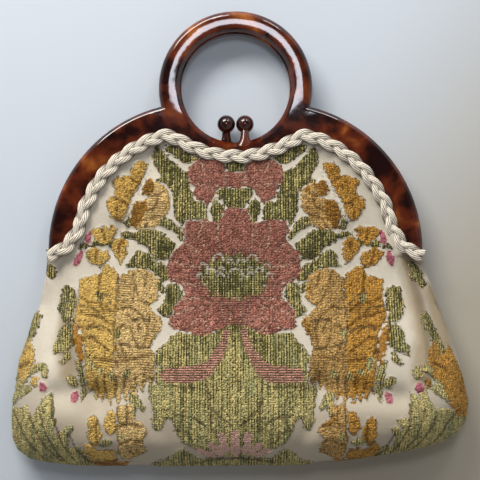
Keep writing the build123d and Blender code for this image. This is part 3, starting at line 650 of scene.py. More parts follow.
def store_place(made, x, y):
    """The place of each point on the flat cloth, for its weave."""
    places = np.stack([x, y, np.zeros_like(x)], -1).reshape(-1, 3)
    layer = made.data.attributes.new("place", "FLOAT_VECTOR", "POINT")
    layer.data.foreach_set("vector", (np.asarray(places, np.float32) * MM).ravel())


def flattened(x, y, z):
    """Places of a curved grid laid out flat, from its middle column and its top row."""
    rows, columns = x.shape
    steps = np.linalg.norm(np.diff(np.stack([x, z], -1), axis=1), axis=-1)
    run_x = np.concatenate([np.zeros((rows, 1)), np.cumsum(steps, axis=1)], axis=1)
    run_x -= run_x[:, [columns // 2]]
    climb = np.hypot(np.diff(y, axis=0), np.diff(z, axis=0)) - np.diff(y, axis=0)
    run_y = y.copy()
    run_y[:-1] -= np.cumsum(climb[::-1], axis=0)[::-1]
    return run_x, run_y


def normals_of(x, y, z):
    """Upward unit normals of a grid surface."""
    p = np.stack([x, y, z], axis=-1)
    across = np.gradient(p, axis=1)
    along = np.gradient(p, axis=0)
    normal = np.cross(across, along)
    return normal / (np.linalg.norm(normal, axis=-1, keepdims=True) + 1e-12)


# Material helpers


def wire(tree, kind, inputs=(), output=0, **settings):
    """A node with its settings and inputs; an input is a number, a colour or another node's output."""
    made = tree.nodes.new(kind)
    for key, value in settings.items():
        setattr(made, key, value)
    for key, value in dict(inputs).items():
        if isinstance(value, bpy.types.NodeSocket):
            tree.links.new(value, made.inputs[key])
        else:
            made.inputs[key].default_value = value
    return made.outputs[output]


def maths(tree, operation, a, b=0.0):
    """One sum on two values."""
    return wire(tree, "ShaderNodeMath", {0: a, 1: b}, operation=operation)


def times(tree, a, b):
    """A value or mask multiplied by another or by an amount."""
    return maths(tree, "MULTIPLY", a, b)


def chain(tree, operation, *values):
    """One sum carried through several values."""
    total = values[0]
    for value in values[1:]:
        total = maths(tree, operation, total, value)
    return total


def weigh(tree, *parts):
    """Sum of several values, each multiplied by its weight."""
    return chain(tree, "ADD", *(times(tree, value, weight) for value, weight in parts))


def ramp(tree, value, low, high, start=0.0, end=1.0):
    """A value carried smoothly from one range to another."""
    return wire(tree, "ShaderNodeMapRange", {0: value, 1: low, 2: high, 3: start, 4: end},
                interpolation_type="SMOOTHSTEP")


def blend_colour(tree, share, a, b):
    """Two colours mixed by a share."""
    a = a if isinstance(a, bpy.types.NodeSocket) else (*a, 1.0)
    b = b if isinstance(b, bpy.types.NodeSocket) else (*b, 1.0)
    return wire(tree, "ShaderNodeMix", {0: share, 6: a, 7: b}, output=2, data_type="RGBA")


def coats(tree, base, *layers):
    """A colour with others laid over it in turn, each by a mask and an amount."""
    for mask, amount, over in layers:
        base = blend_colour(tree, times(tree, mask, amount), base, over)
    return base


def tint(value, factor):
    """A colour made lighter or darker."""
    return tuple(channel * factor for channel in value)


def clouded(tree, cloud, value, dark, light):
    """A colour that drifts between a darker and a lighter tint of itself."""
    return blend_colour(tree, cloud, tint(value, dark), tint(value, light))


def attribute(tree, name, output=2):
    """A stored number of the mesh, or a stored place as output 1."""
    return wire(tree, "ShaderNodeAttribute", (), output=output, attribute_name=name)


def object_place(tree):
    """The place of each point in its object."""
    return wire(tree, "ShaderNodeTexCoord", (), output=3)


def axes(tree, place):
    """The three parts of a place."""
    return wire(tree, "ShaderNodeSeparateXYZ", {0: place}).node.outputs


def vector(tree, operation, place, other, output=0):
    """One sum on a place."""
    return wire(tree, "ShaderNodeVectorMath", {0: place, 1: other}, output=output, operation=operation)


def noise(tree, place, scale, detail=2.0, rough=0.5):
    """Cloudy noise from 0 to 1."""
    return wire(tree, "ShaderNodeTexNoise", {"Vector": place, "Scale": scale, "Detail": detail,
                                             "Roughness": rough})


def new_material(name):
    """An empty node material with its shader."""
    material = bpy.data.materials.new(name)
    material.use_nodes = True
    tree = material.node_tree
    shader = tree.nodes["Principled BSDF"]
    return material, tree, shader


def put(tree, shader, name, value):
    """Joins a value to one of the shader's inputs."""
    tree.links.new(value, shader.inputs[name])


def put_bump(tree, shader, height, strength, distance):
    """Gives a surface fine relief, with its distance in metres."""
    put(tree, shader, "Normal", wire(tree, "ShaderNodeBump", {"Height": height, "Strength": strength,
                                                              "Distance": distance}))


# Carpet cloth

TUFTS_PER_METRE = 760.0
WAVE_SCALE = 314.2
STRIPE_PITCH, ROW_PITCH = 1.95, 1.75
# Painted shade: the ground darkens towards the base, under the belly
BELLY_PAINTED_SHADE = (0.270, 0.205, 0.125)
# Painted shade beside the side folds
FOLD_PAINTED_SHADE = (0.215, 0.155, 0.080)
# Dark rim outside the pile: partly the motifs' dark outlines, partly painted shadow cast by the pile's edge
PILE_EDGE_OUTLINE_AND_SHADOW = (0.12, 0.09, 0.045)
SAGE = (0.33, 0.33, 0.15)
STRAW_STITCH = (0.55, 0.38, 0.26)
# Right-side tints of the light tufts and painted highlights; their amber is painted light, the pile's sheen
BRIGHT_AMBER = (0.56, 0.29, 0.055)
PALE_AMBER = (0.52, 0.31, 0.105)
WOVEN_BROWN = (0.085, 0.065, 0.025)
# Pale pink of the petals at the base, partly painted light where the base slopes away
PALE_PINK_AND_PAINTED_LIGHT = (0.72, 0.46, 0.36)
SPECK_BROWN = (0.055, 0.035, 0.016)
INK_BROWN = (0.050, 0.034, 0.015)


def bands(tree, place, pitch, direction, bend, low, high):
    """Soft lines across the cloth with a pitch in millimetres."""
    line = wire(tree, "ShaderNodeTexWave", {"Vector": place, "Scale": WAVE_SCALE / pitch, "Distortion": bend,
                                            "Detail": 2.0, "Detail Scale": 2.0},
                output=1, bands_direction=direction)
    return ramp(tree, line, low, high)


def weave_fields(tree):
    """The noises, lines and masks that the cloth's yarns share."""
    place = attribute(tree, "place", 1)
    across, along = axes(tree, place)[:2]
    tuft_cell = wire(tree, "ShaderNodeTexVoronoi", {"Vector": place, "Scale": TUFTS_PER_METRE}).node
    tuft_parts = wire(tree, "ShaderNodeSeparateColor", {0: tuft_cell.outputs["Color"]}).node
    tuft, fleck = tuft_parts.outputs[0], tuft_parts.outputs[1]
    step_cell = wire(tree, "ShaderNodeTexVoronoi",
                     {"Vector": vector(tree, "MULTIPLY", place, (420, 640, 1)), "Scale": 1.0,
                      "Randomness": 0.5}, output=1, distance="CHEBYCHEV")
    jag = maths(tree, "SUBTRACT", wire(tree, "ShaderNodeSeparateColor", {0: step_cell}, output=1), 0.5)
    patch = noise(tree, place, 70, 3, 0.6)
    shade = noise(tree, place, 150, 2, 0.5)
    mottle = noise(tree, place, 330, 3, 0.7)
    rows = bands(tree, place, ROW_PITCH, "Y", 1.0, 0.62, 0.12)
    spread = chain(tree, "ADD", attribute(tree, "rows"), times(tree, jag, 3.0), times(tree, patch, 10.0))
    spread = ramp(tree, spread, 4.0, 6.5)
    seam = chain(tree, "ADD", attribute(tree, "seam"), times(tree, jag, 0.8))
    return SimpleNamespace(
        place=place, across=across, along=along, tuft=tuft, fleck=fleck, jag=jag, patch=patch, shade=shade,
        mottle=mottle, rows=rows,
        hump=maths(tree, "SUBTRACT", 1.0, tuft_cell.outputs["Distance"]),
        tufting=ramp(tree, weigh(tree, (tuft, 0.46), (mottle, 0.30), (shade, 0.24)), 0.25, 0.75),
        cloud=noise(tree, place, 40),
        strie=noise(tree, vector(tree, "MULTIPLY", place, (660, 30, 1)), 1.0, 3, 0.75),
        stripes=bands(tree, place, STRIPE_PITCH, "X", 1.2, 0.1, 0.9),
        # painted light: the amber on the right side stands in for the pile's sheen
        right=ramp(tree, across, -0.03, 0.03),
        lines=times(tree, rows, chain(tree, "ADD", times(tree, spread, 0.85), 0.15)),
        crease=ramp(tree, seam, 1.3, 0.4),
        # painted shade: darker pile within a few millimetres of each petal seam
        hollow=ramp(tree, seam, 3.6, 0.6),
        # painted highlights: lighter pile along each petal's edge and in its middle
        petal_edge_painted_highlight=times(tree, ramp(tree, seam, 1.2, 2.0), ramp(tree, seam, 4.4, 2.6)),
        petal_painted_highlight=times(tree, ramp(tree, seam, 2.0, 4.5), ramp(tree, patch, 0.38, 0.58)),
        # light tufts at random, partly painted glints of the pile
        light_tuft_and_glint=ramp(tree, fleck, 0.72, 0.92),
        speck=ramp(tree, fleck, 0.24, 0.08))


def woven_mask(tree, weave, depth, jagged, soft=0.25):
    """Share of a colour from its depth in millimetres, with a stepped woven edge."""
    return ramp(tree, chain(tree, "ADD", depth, times(tree, weave.jag, jagged)), -soft, soft)


def yarn(tree, weave, value, dark, light):
    """Tufts of a yarn, some dark and some light."""
    return clouded(tree, weave.tufting, value, dark, light)


def ground_colour(tree, weave, colours):
    """Cream satin, with painted shade under the belly and beside the side folds."""
    cream = colours.ground
    shaded = chain(tree, "ADD", attribute(tree, "fold"), times(tree, weave.patch, 3.0))
    return coats(
        tree, clouded(tree, weave.cloud, cream, 0.90, 1.05),
        (ramp(tree, weave.fleck, 0.2, 0.8), 0.10, tint(cream, 0.7)),
        (ramp(tree, weave.mottle, 0.4, 0.7), 0.14, tint(cream, 1.25)),
        # painted shade under the belly
        (ramp(tree, weave.along, -0.085, -0.150), 0.55, BELLY_PAINTED_SHADE),
        # painted shade beside the side folds
        (ramp(tree, shaded, -4.0, 7.0), 0.80, FOLD_PAINTED_SHADE))


def leaf_colour(tree, weave, colours):
    """Leaves in dark, middle and straw stripes, lighter towards the base, and lighter at its corners with
    painted light.
    """
    along = weave.along
    # painted light: the leaves in the lower corners are lightened where the cloth slopes from the light
    corner_painted_light = ramp(tree, maths(tree, "ABSOLUTE", weave.across), 0.105, 0.140)
    tone = weigh(
        tree, (weave.stripes, 0.14), (weave.strie, 0.66), (weave.tuft, 0.16), (weave.patch, 0.18),
        (ramp(tree, along, -0.055, -0.12), 0.09), (ramp(tree, along, -0.06, -0.01), -0.035),
        (maths(tree, "SUBTRACT", weave.cloud, 0.5), 0.22),
        (times(tree, corner_painted_light, ramp(tree, along, -0.09, -0.12)), 0.10))
    sage = noise(tree, vector(tree, "MULTIPLY", weave.place, (300, 16, 1)), 1.0, 2, 0.6)
    straw = blend_colour(tree, ramp(tree, sage, 0.40, 0.62), colours.leaf_light, SAGE)
    leaf = blend_colour(tree, ramp(tree, tone, 0.44, 0.55), colours.leaf_dark, colours.leaf_middle)
    leaf = blend_colour(tree, ramp(tree, tone, 0.57, 0.67), leaf, straw)
    return coats(
        tree, leaf,
        # light tufts, partly painted glints
        (times(tree, weave.light_tuft_and_glint, ramp(tree, tone, 0.45, 0.65)), 0.55, tint(colours.leaf_light, 1.25)),
        (weave.rows, 0.22, tint(colours.leaf_dark, 0.9)))


def rose_colour(tree, weave, colours):
    """Rose pile with pink tufts, straw between its petals and woven lines at its heart."""
    rose = colours.rose
    return coats(
        tree, yarn(tree, weave, rose, 0.52, 1.50),
        (weave.stripes, 0.22, tint(rose, 0.55)),
        # light tufts, partly painted glints
        (weave.light_tuft_and_glint, 0.55, tint(colours.pink, 1.45)),
        (ramp(tree, weave.patch, 0.45, 0.65), 0.28, colours.pink),
        # painted shade near the petal seams
        (weave.hollow, 0.25, tint(rose, 0.55)),
        (ramp(tree, weave.along, -0.045, 0.0), 0.32, tint(rose, 0.62)),
        (times(tree, weave.crease, ramp(tree, weave.tuft, 0.2, 0.8)), 0.7, STRAW_STITCH),
        (weave.lines, 0.50, tint(rose, 0.40)))


def blossom_colours(tree, weave, colours):
    """Gold and tan pile of the large blossoms, turning to amber on the right; that amber is painted light,
    for the pile's sheen on that side.
    """
    gold, amber, tan = colours.gold, colours.amber, colours.tan
    deep_gold = yarn(tree, weave, amber, 0.48, 1.80)
    # light tufts and painted highlights, amber on the right as painted light
    bright = blend_colour(tree, times(tree, weave.right, 0.85), tint(gold, 1.60), BRIGHT_AMBER)
    pale = blend_colour(tree, times(tree, weave.right, 0.80), tint(tan, 1.50), PALE_AMBER)
    gold_pile = coats(
        tree, yarn(tree, weave, gold, 0.55, 1.45),
        (ramp(tree, weave.patch, 0.45, 0.60), 0.40, tint(gold, 1.40)),
        # painted light: amber on the right side
        (weave.right, 0.97, deep_gold),
        (ramp(tree, weave.along, 0.002, 0.02), 0.50, deep_gold),
        # light tufts, partly painted glints; painted highlights in the petals' middles and along their edges
        (weave.light_tuft_and_glint, 0.36, bright), (weave.petal_painted_highlight, 0.42, bright), (weave.petal_edge_painted_highlight, 0.40, bright),
        # painted shade near the petal seams
        (weave.hollow, 0.12, tint(amber, 0.95)),
        (weave.crease, 0.62, tint(amber, 0.26)),
        (weave.lines, 0.55, tint(amber, 0.36)))
    tan_pile = coats(
        tree, yarn(tree, weave, tan, 0.56, 1.45),
        # painted light: amber on the right side
        (weave.right, 0.50, deep_gold),
        # light tufts, partly painted glints; painted highlights in the petals' middles and along their edges
        (weave.light_tuft_and_glint, 0.35, pale), (weave.petal_painted_highlight, 0.45, pale), (weave.petal_edge_painted_highlight, 0.40, pale),
        # painted shade near the petal seams
        (weave.hollow, 0.12, tint(tan, 0.62)),
        (weave.crease, 0.60, tint(amber, 0.36)),
        (weave.lines, 0.55, tint(amber, 0.42)))
    return gold_pile, tan_pile


def pink_colour(tree, weave, colours):
    """Pink ribbons with woven lines, which fade in the pale petals at the base; painted light also lifts
    those petals where the base slopes away.
    """
    pink = colours.pink
    woven = times(tree, weave.rows, ramp(tree, weave.along, -0.125, -0.110, 0.25, 0.92))
    return coats(
        tree, yarn(tree, weave, pink, 0.62, 1.15),
        # light tufts, partly painted glints
        (weave.light_tuft_and_glint, 0.5, tint(pink, 1.6)),
        (ramp(tree, weave.shade, 0.50, 0.62), 0.6, tint(pink, 1.55)),
        (woven, 1.0, WOVEN_BROWN),
        # pale petals, partly painted light lifting the sloping base
        (ramp(tree, weave.along, -0.125, -0.150), 0.75, PALE_PINK_AND_PAINTED_LIGHT))


def lattice_colour(tree, weave, colours, leaf, rose):
    """The rose's heart: leaf inside, mixed with rose at its edge."""
    depth = chain(tree, "ADD", attribute(tree, "lattice"), times(tree, weave.jag, 5.0),
                  times(tree, weave.tuft, 2.5))
    heart = blend_colour(tree, ramp(tree, depth, 1.5, 4.0), blend_colour(tree, 0.55, leaf, rose), leaf)
    return coats(tree, heart, (weave.rows, 0.45, tint(colours.leaf_dark, 0.8)))


def carpet_material(colours):
    """Cream satin ground with flowers in cut pile, coloured by the pattern's stored depths."""
    material, tree, shader = new_material("carpet_cloth")
    weave = weave_fields(tree)
    leaf = leaf_colour(tree, weave, colours)
    rose = rose_colour(tree, weave, colours)
    gold, tan = blossom_colours(tree, weave, colours)
    depth = {name: attribute(tree, name) for name in ("leaf", "gold", "tan", "rose")}
    edge = chain(tree, "ADD", chain(tree, "MAXIMUM", *depth.values()), times(tree, weave.jag, 1.2))

    # Gold reaches under the tan, and a cloudy line parts them
    depth["gold"] = maths(tree, "MAXIMUM", depth["gold"], depth["tan"])
    wobble = times(tree, maths(tree, "SUBTRACT", weave.patch, 0.5), 26.0)
    depth["tan"] = maths(tree, "MINIMUM", depth["gold"], maths(tree, "ADD", depth["tan"], wobble))
    masks = {name: woven_mask(tree, weave, value, 2.3) for name, value in depth.items()}
    pile = chain(tree, "MAXIMUM", *masks.values())

    def mask(name, jagged, soft=0.25):
        """Share of one of the small colours."""
        return woven_mask(tree, weave, attribute(tree, name), jagged, soft)

    cloth = coats(
        tree, ground_colour(tree, weave, colours),
        # dark rim outside the pile: outlines and painted shadow
        (ramp(tree, edge, -1.1, 0.1), 0.50, PILE_EDGE_OUTLINE_AND_SHADOW),
        (masks["leaf"], 1.0, leaf), (masks["gold"], 1.0, gold),
        (masks["tan"], 1.0, tan), (masks["rose"], 1.0, rose),
        (mask("brown", 2.5, 0.6), 1.0, yarn(tree, weave, colours.amber, 0.40, 1.05)),
        (mask("moss", 2.5, 0.6), 1.0, leaf),
        (times(tree, weave.speck, pile), 0.5, SPECK_BROWN),
        (mask("bud", 0.8), 1.0, yarn(tree, weave, colours.bud, 0.55, 1.35)),
        (mask("lattice", 3.0, 0.5), 1.0, lattice_colour(tree, weave, colours, leaf, rose)),
        (mask("pink", 1.6), 1.0, pink_colour(tree, weave, colours)),
        (mask("ink", 1.0), 0.62, INK_BROWN),
        (mask("vein", 0.6, 0.4), 0.9, yarn(tree, weave, colours.ground, 0.75, 1.15)))
    put(tree, shader, "Base Color", cloth)
    put(tree, shader, "Roughness", ramp(tree, pile, 0, 1, 0.55, 0.85))

    tufts = weigh(tree, (weave.hump, 1.0), (weave.tuft, 0.5), (weave.stripes, 0.35), (weave.mottle, 0.8))
    relief = weigh(tree, (times(tree, tufts, pile), 1.0), (weave.mottle, 0.12),
                   (times(tree, weave.lines, pile), -0.5))
    put_bump(tree, shader, relief, 1.0, 0.0014)
    shader.inputs["Sheen Weight"].default_value = 0.04
    shader.inputs["Sheen Roughness"].default_value = 0.4
    shader.inputs["Specular IOR Level"].default_value = 0.12
    return material


# Braid, lining, moulding and pins

# Painted shade in the plait's hollows
BRAID_PAINTED_SHADE = (0.085, 0.055, 0.030)
BRASS_DARK = (0.40, 0.26, 0.10)
BRASS_LIGHT = (0.62, 0.45, 0.20)
CROWN_HALF_WIDTH = 8.0


def thread_material(colours):
    """Ivory mercerised thread with fine twist and painted shade in its hollows."""
    material, tree, shader = new_material("braid_thread")
    place = object_place(tree)
    base = clouded(tree, noise(tree, place, 160, 3), colours.braid, 0.88, 1.08)
    # painted shade in the plait's hollows
    put(tree, shader, "Base Color", coats(tree, base, (attribute(tree, "hollow"), 0.95, BRAID_PAINTED_SHADE)))
    put_bump(tree, shader, noise(tree, place, 2200), 0.4, 0.0002)
    shader.inputs["Roughness"].default_value = 0.6
    shader.inputs["Sheen Weight"].default_value = 0.2
    return material


def lining_material(colours):
    """Plain woven lining."""
    material, tree, shader = new_material("lining_cloth")
    place = object_place(tree)
    weave = wire(tree, "ShaderNodeTexChecker", {"Vector": place, "Scale": 1400.0}, output=1)
    base = clouded(tree, noise(tree, place, 60, 3), colours.lining, 0.85, 1.1)
    put(tree, shader, "Base Color", coats(tree, base, (weave, 0.12, tint(colours.lining, 0.6))))
    put_bump(tree, shader, weave, 0.3, 0.0003)
    shader.inputs["Roughness"].default_value = 0.75
    return material


def ring_crown(tree, place):
    """Slight crown across the ring's face in millimetres, fading out below the ring's middle."""
    middle = vector(tree, "SUBTRACT", place, (0, RING_Y * MM, 0))
    flat = vector(tree, "MULTIPLY", middle, (1 / MM, 1 / MM, 0))
    radius = vector(tree, "LENGTH", flat, (0, 0, 0), output=1)
    off = maths(tree, "SUBTRACT", radius, RING_MIDDLE)
    off = maths(tree, "MAXIMUM", maths(tree, "MINIMUM", off, CROWN_HALF_WIDTH), -CROWN_HALF_WIDTH)
    bend = ramp(tree, axes(tree, middle)[1], -0.022, 0.004, 0.0, -0.012)
    return times(tree, times(tree, off, off), bend)


def shell_material(colours):
    """Polished mottled moulding: near-black red-brown with blurred amber clouds."""
    material, tree, shader = new_material("tortoiseshell_moulding")
    place = object_place(tree)
    warp = wire(tree, "ShaderNodeTexNoise", {"Vector": place, "Scale": 26.0, "Detail": 2.0}, output=1)
    warp = wire(tree, "ShaderNodeVectorMath", {0: warp, 3: 0.018}, operation="SCALE")
    bent = vector(tree, "ADD", place, warp)
    mixed = weigh(tree, (noise(tree, bent, 52, 2, 0.45), 0.78), (noise(tree, bent, 130, 3, 0.5), 0.22))
    base = blend_colour(tree, ramp(tree, mixed, 0.40, 0.60), colours.shell_dark, colours.shell_red)
    base = blend_colour(tree, ramp(tree, mixed, 0.56, 0.76), base, colours.shell_amber)
    put(tree, shader, "Base Color", base)
    shader.inputs["Roughness"].default_value = 0.07
    shader.inputs["IOR"].default_value = 1.52
    shader.inputs["Specular IOR Level"].default_value = 0.5
    ripple = times(tree, noise(tree, place, 60), 0.13)
    put_bump(tree, shader, maths(tree, "ADD", ring_crown(tree, place), ripple), 1.0, 0.001)
    return material


def brass_material():
    """Dull brass of the hinge pins, with a little tarnish."""
    material, tree, shader = new_material("pin_brass")
    cloud = noise(tree, object_place(tree), 500, 4)
    put(tree, shader, "Base Color", blend_colour(tree, cloud, BRASS_DARK, BRASS_LIGHT))
    put(tree, shader, "Roughness", ramp(tree, cloud, 0.3, 0.7, 0.28, 0.5))
    shader.inputs["Metallic"].default_value = 1.0
    return material


def materials(context):
    """The materials, made once."""
    colours = context.scene.bag_colours
    makers = {
        "carpet_cloth": carpet_material, "braid_thread": thread_material, "lining_cloth": lining_material,
        "tortoiseshell_moulding": shell_material,
    }
    found = {name: bpy.data.materials.get(name) or make(colours) for name, make in makers.items()}
    found["pin_brass"] = bpy.data.materials.get("pin_brass") or brass_material()
    return found


# Cloth and lining, in millimetres

TUFT_SPREAD = 0.28
BACK_STEP, LINING_STEP = 2.2, 3.3
MOUTH_DROP = 30
BACK_LIFT, BACK_REACH = 0.6, 16
LIP_RISE, LIP_FORWARD, LIP_INSET = 2.6, 1.5, 0.010
LIP_AT_HINGE, LIP_FADE = 0.2, 14
LINING_REACH, LINING_RISE, LINING_DROP = 14, 4.5, 1.5
LINING_HALF = 150


def pile_rise(layers, pile_height):
    """Height of the cut pile: none at the veins, low along the seams, with uneven tufts."""
    pile = np.maximum.reduce([layers[name] for name in PILE_LAYERS])
    raised = smooth((pile + 0.5) / 1.2) * (1 - 0.7 * smooth((layers["vein"] + 0.5) / 1.0))
    raised *= 0.62 + 0.38 * smooth(layers["seam"] / 1.8)
    tufts = np.random.default_rng(SEED).uniform(-TUFT_SPREAD, TUFT_SPREAD, pile.shape)
    return raised * (pile_height + tufts)


class CARPETBAG_OT_front_cloth(bpy.types.Operator):
    """Make the front cloth from the braid to the seam, with its folds and raised pile"""

    bl_idname = "carpetbag.front_cloth"
    bl_label = "Front Cloth"

    def execute(self, context):
        """Builds the mesh."""
        shape = context.scene.bag_shape
        x, y, s, low = outline_grid(shape.cloth_step / MM)
        z = front_height(x, y, s, low, shape)
        normal = normals_of(x, y, z)
        layers = pattern(x, y)
        height = pile_rise(layers, shape.pile_height / MM)
        points = np.stack([x, y, z], axis=-1) + normal * height[..., None]
        cloth = make_mesh("front_cloth", points.reshape(-1, 3), grid_faces(*x.shape),
                          materials(context)["carpet_cloth"])
        store_layers(cloth, layers)
        store_place(cloth, *flattened(x, y, z))
        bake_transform(cloth)
        piles = [name for name in frame["nodes"] if name.endswith("_pile")]
        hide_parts("front_panel", "front_pouch", *piles)
        return {"FINISHED"}


class CARPETBAG_OT_back_cloth(bpy.types.Operator):
    """Make the back cloth, which lies flat and meets the front at the seam"""

    bl_idname = "carpetbag.back_cloth"
    bl_label = "Back Cloth"

    def execute(self, context):
        """Builds the mesh on the back half."""
        shape = context.scene.bag_shape
        x, y, s, low = outline_grid(BACK_STEP)
        rim = shape.rim_height / MM + BACK_LIFT
        inside = line_distance(x, y, edge_line(EDGE_SPACING))
        flat = BACK_FACE_Z - (BACK_FACE_Z - BACK_LIFT) * smooth(inside / MOUTH_DROP)
        z = rim + (flat - rim) * rounding(seam_distance(y, s, low), BACK_REACH)

        # A narrow lip along the sides and base is turned in under the front cloth
        x, y, z = (np.pad(part, ((1, 0), (1, 1)), mode="edge") for part in (x, y, z))
        turned = np.zeros(x.shape)
        turned[0, :] = turned[:, 0] = turned[:, -1] = 1
        turned *= LIP_AT_HINGE + (1 - LIP_AT_HINGE) * smooth((HINGE_Y - LIP_FADE - y) / LIP_FADE)
        z = z + LIP_RISE * turned
        x = x * (1 - LIP_INSET * turned)
        y[0, :] += LIP_FORWARD
        cloth = make_mesh("back_cloth", np.stack([x, y, z], -1).reshape(-1, 3),
                          grid_faces(*x.shape, flip=True), materials(context)["carpet_cloth"])
        store_layers(cloth, pattern(x, y))
        store_place(cloth, x, y)
        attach(cloth, "back_half")
        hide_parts("back_panel")
        return {"FINISHED"}


class CARPETBAG_OT_lining(bpy.types.Operator):
    """Make the lining inside the front and the back"""

    bl_idname = "carpetbag.lining"
    bl_label = "Lining"

    def execute(self, context):
        """Builds one sheet under the front cloth and one over the back cloth."""
        shape = context.scene.bag_shape
        gap = shape.lining_gap / MM
        x, y, s, low = outline_grid(LINING_STEP)
        z = front_height(x, y, s, low, shape)
        shrink = 1 - gap / LINING_HALF
        points = np.stack([x * shrink, y * shrink, z], -1) - normals_of(x, y, z) * gap
        front = make_mesh("front_lining_cloth", points.reshape(-1, 3), grid_faces(*x.shape, flip=True),
                          materials(context)["lining_cloth"])
        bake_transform(front)
        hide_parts("front_lining")
        rim = shape.rim_height / MM
        inside = line_distance(x, y, edge_line(EDGE_SPACING))
        flat = BACK_FACE_Z + LINING_RISE - (BACK_FACE_Z + LINING_DROP) * smooth(inside / MOUTH_DROP)
        z = rim + (flat - rim) * rounding(seam_distance(y, s, low), LINING_REACH)
        points = np.stack([x * shrink, y * shrink, z], -1)
        back = make_mesh("back_lining_cloth", points.reshape(-1, 3), grid_faces(*x.shape),
                         materials(context)["lining_cloth"])
        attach(back, "back_half")
        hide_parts("back_lining", "pouch_lining")
        return {"FINISHED"}


# Braid, in millimetres

BRAID_STEP = 1.1
STRANDS = 3
TUBE_SIDES = 6
STRAND_HALF_HEIGHT = 1.05
WANDER, WANDER_DRAWS = 0.35, 40
THREAD_LAY, STRAND_TURN = 0.9, 0.5
CREASE_START, CREASE_REACH, CREASE_SHADE = 0.72, 0.6, 0.9
DEEP_START, DEEP_REACH = 0.8, 1.7


def tube(centre, radius, ring):
    """Points round a thread's centre line."""
    along = np.gradient(centre, axis=0)
    along /= np.linalg.norm(along, axis=1, keepdims=True)
    u = np.cross(along, [0, 0, 1.0])
    u /= np.linalg.norm(u, axis=1, keepdims=True)
    w = np.cross(u, along)
    points = (centre[:, None, :] + radius * (u[:, None, :] * np.cos(ring)[None, :, None]
              + w[:, None, :] * np.sin(ring)[None, :, None]))
    return points.reshape(-1, 3)


def tube_faces(count, start):
    """Faces of a thread whose points begin at a number."""
    index = start + np.arange(count * TUBE_SIDES).reshape(count, TUBE_SIDES)
    beside = np.roll(index, -1, axis=1)
    return np.stack([index[:-1], beside[:-1], beside[1:], index[1:]], -1).reshape(-1, 4)


def thread_painted_shade(twist, lifted, ring, half_width, sign):
    """Shade at each point of a thread: 0 on the plait's open face, up to 1 in its hollows."""
    out_side, out_up = np.cos(twist) / half_width, np.sin(twist) / STRAND_HALF_HEIGHT
    reach = np.hypot(out_side, out_up)
    facing = (np.sin(ring)[None, :] * (out_up / reach * sign)[:, None]
              - np.cos(ring)[None, :] * (out_side / reach)[:, None])
    crease = np.clip((CREASE_START - facing) / CREASE_REACH, 0, 1)
    depth = np.clip((DEEP_START - lifted) / DEEP_REACH, 0, 1)
    return np.maximum(depth[:, None], CREASE_SHADE * crease).ravel()


def plait(name, shape, base_z, sign, material):
    """A flat three-strand plait of fine threads along the cloth's edge, as one mesh."""
    line = edge_line(BRAID_STEP)
    run = np.concatenate([[0], np.cumsum(np.hypot(*np.diff(line, axis=0).T))])
    ahead = np.gradient(line, axis=0)
    ahead /= np.linalg.norm(ahead, axis=1, keepdims=True)
    aside = np.stack([-ahead[:, 1], ahead[:, 0]], axis=1)
    lay = shape.lay_length / MM
    sway, lift = shape.sway / MM, shape.lift / MM
    radius = shape.thread_radius / MM
    half_width = shape.strand_width / MM / 2 - radius
    ring = np.linspace(0, 2 * math.pi, TUBE_SIDES, endpoint=False)
    draws = np.random.default_rng(SEED).uniform(-1, 1, WANDER_DRAWS)
    wander = WANDER * np.interp(run, np.linspace(0, run[-1], WANDER_DRAWS), draws)
    points, faces, hollow = [], [], []
    for strand in range(STRANDS):
        phase = 2 * math.pi * (run / lay + strand / STRANDS)
        lateral = sway * np.sin(phase) + wander
        height = lift * np.sin(2 * phase)
        for thread in range(shape.threads):
            turn = 2 * math.pi * thread / shape.threads
            twist = turn - 2 * math.pi * run / (lay * THREAD_LAY) + STRAND_TURN * strand
            lifted = height + STRAND_HALF_HEIGHT * np.sin(twist)
            centre = np.zeros((len(run), 3))
            centre[:, :2] = line + aside * (lateral + half_width * np.cos(twist))[:, None]
            centre[:, 2] = base_z + sign * (radius + lift + STRAND_HALF_HEIGHT + lifted)
            faces.append(tube_faces(len(run), sum(len(part) for part in points)))
            points.append(tube(centre, radius, ring))
            hollow.append(thread_painted_shade(twist, lifted, ring, half_width, sign))
    made = make_mesh(name, np.concatenate(points), np.concatenate(faces), material)
    store(made, "hollow", np.concatenate(hollow))
    return made


class CARPETBAG_OT_braids(bpy.types.Operator):
    """Make the plaited braids over the cloth's raw edge, front and back"""

    bl_idname = "carpetbag.braids"
    bl_label = "Braids"

    def execute(self, context):
        """Builds both plaits from threads."""
        shape = context.scene.braid_shape
        thread = materials(context)["braid_thread"]
        front = plait("front_plait", shape, FACE_Z, 1, thread)
        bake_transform(front)
        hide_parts("front_braid")
        back = plait("back_plait", shape, BACK_FACE_Z, -1, thread)
        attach(back, "back_half")
        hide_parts("back_braid")
        return {"FINISHED"}


class CARPETBAG_OT_finishes(bpy.types.Operator):
    """Give the frame, clasp, pins and stitches their finishes"""

    bl_idname = "carpetbag.finishes"
    bl_label = "Finishes"

    def execute(self, context):
        """Puts a material on each carried-over node."""
        made = materials(context)
        plan = {
            "front_frame": "tortoiseshell_moulding", "back_frame": "tortoiseshell_moulding",
            "left_hinge_pin": "pin_brass", "right_hinge_pin": "pin_brass",
            "front_stitches": "lining_cloth", "back_stitches": "lining_cloth",
        }
        for node, material in plan.items():
            for slot in frame["nodes"][node].material_slots:
                slot.material = made[material]
        return {"FINISHED"}


# Stage, in metres: each lamp's place, the point it looks at, its size and its tone

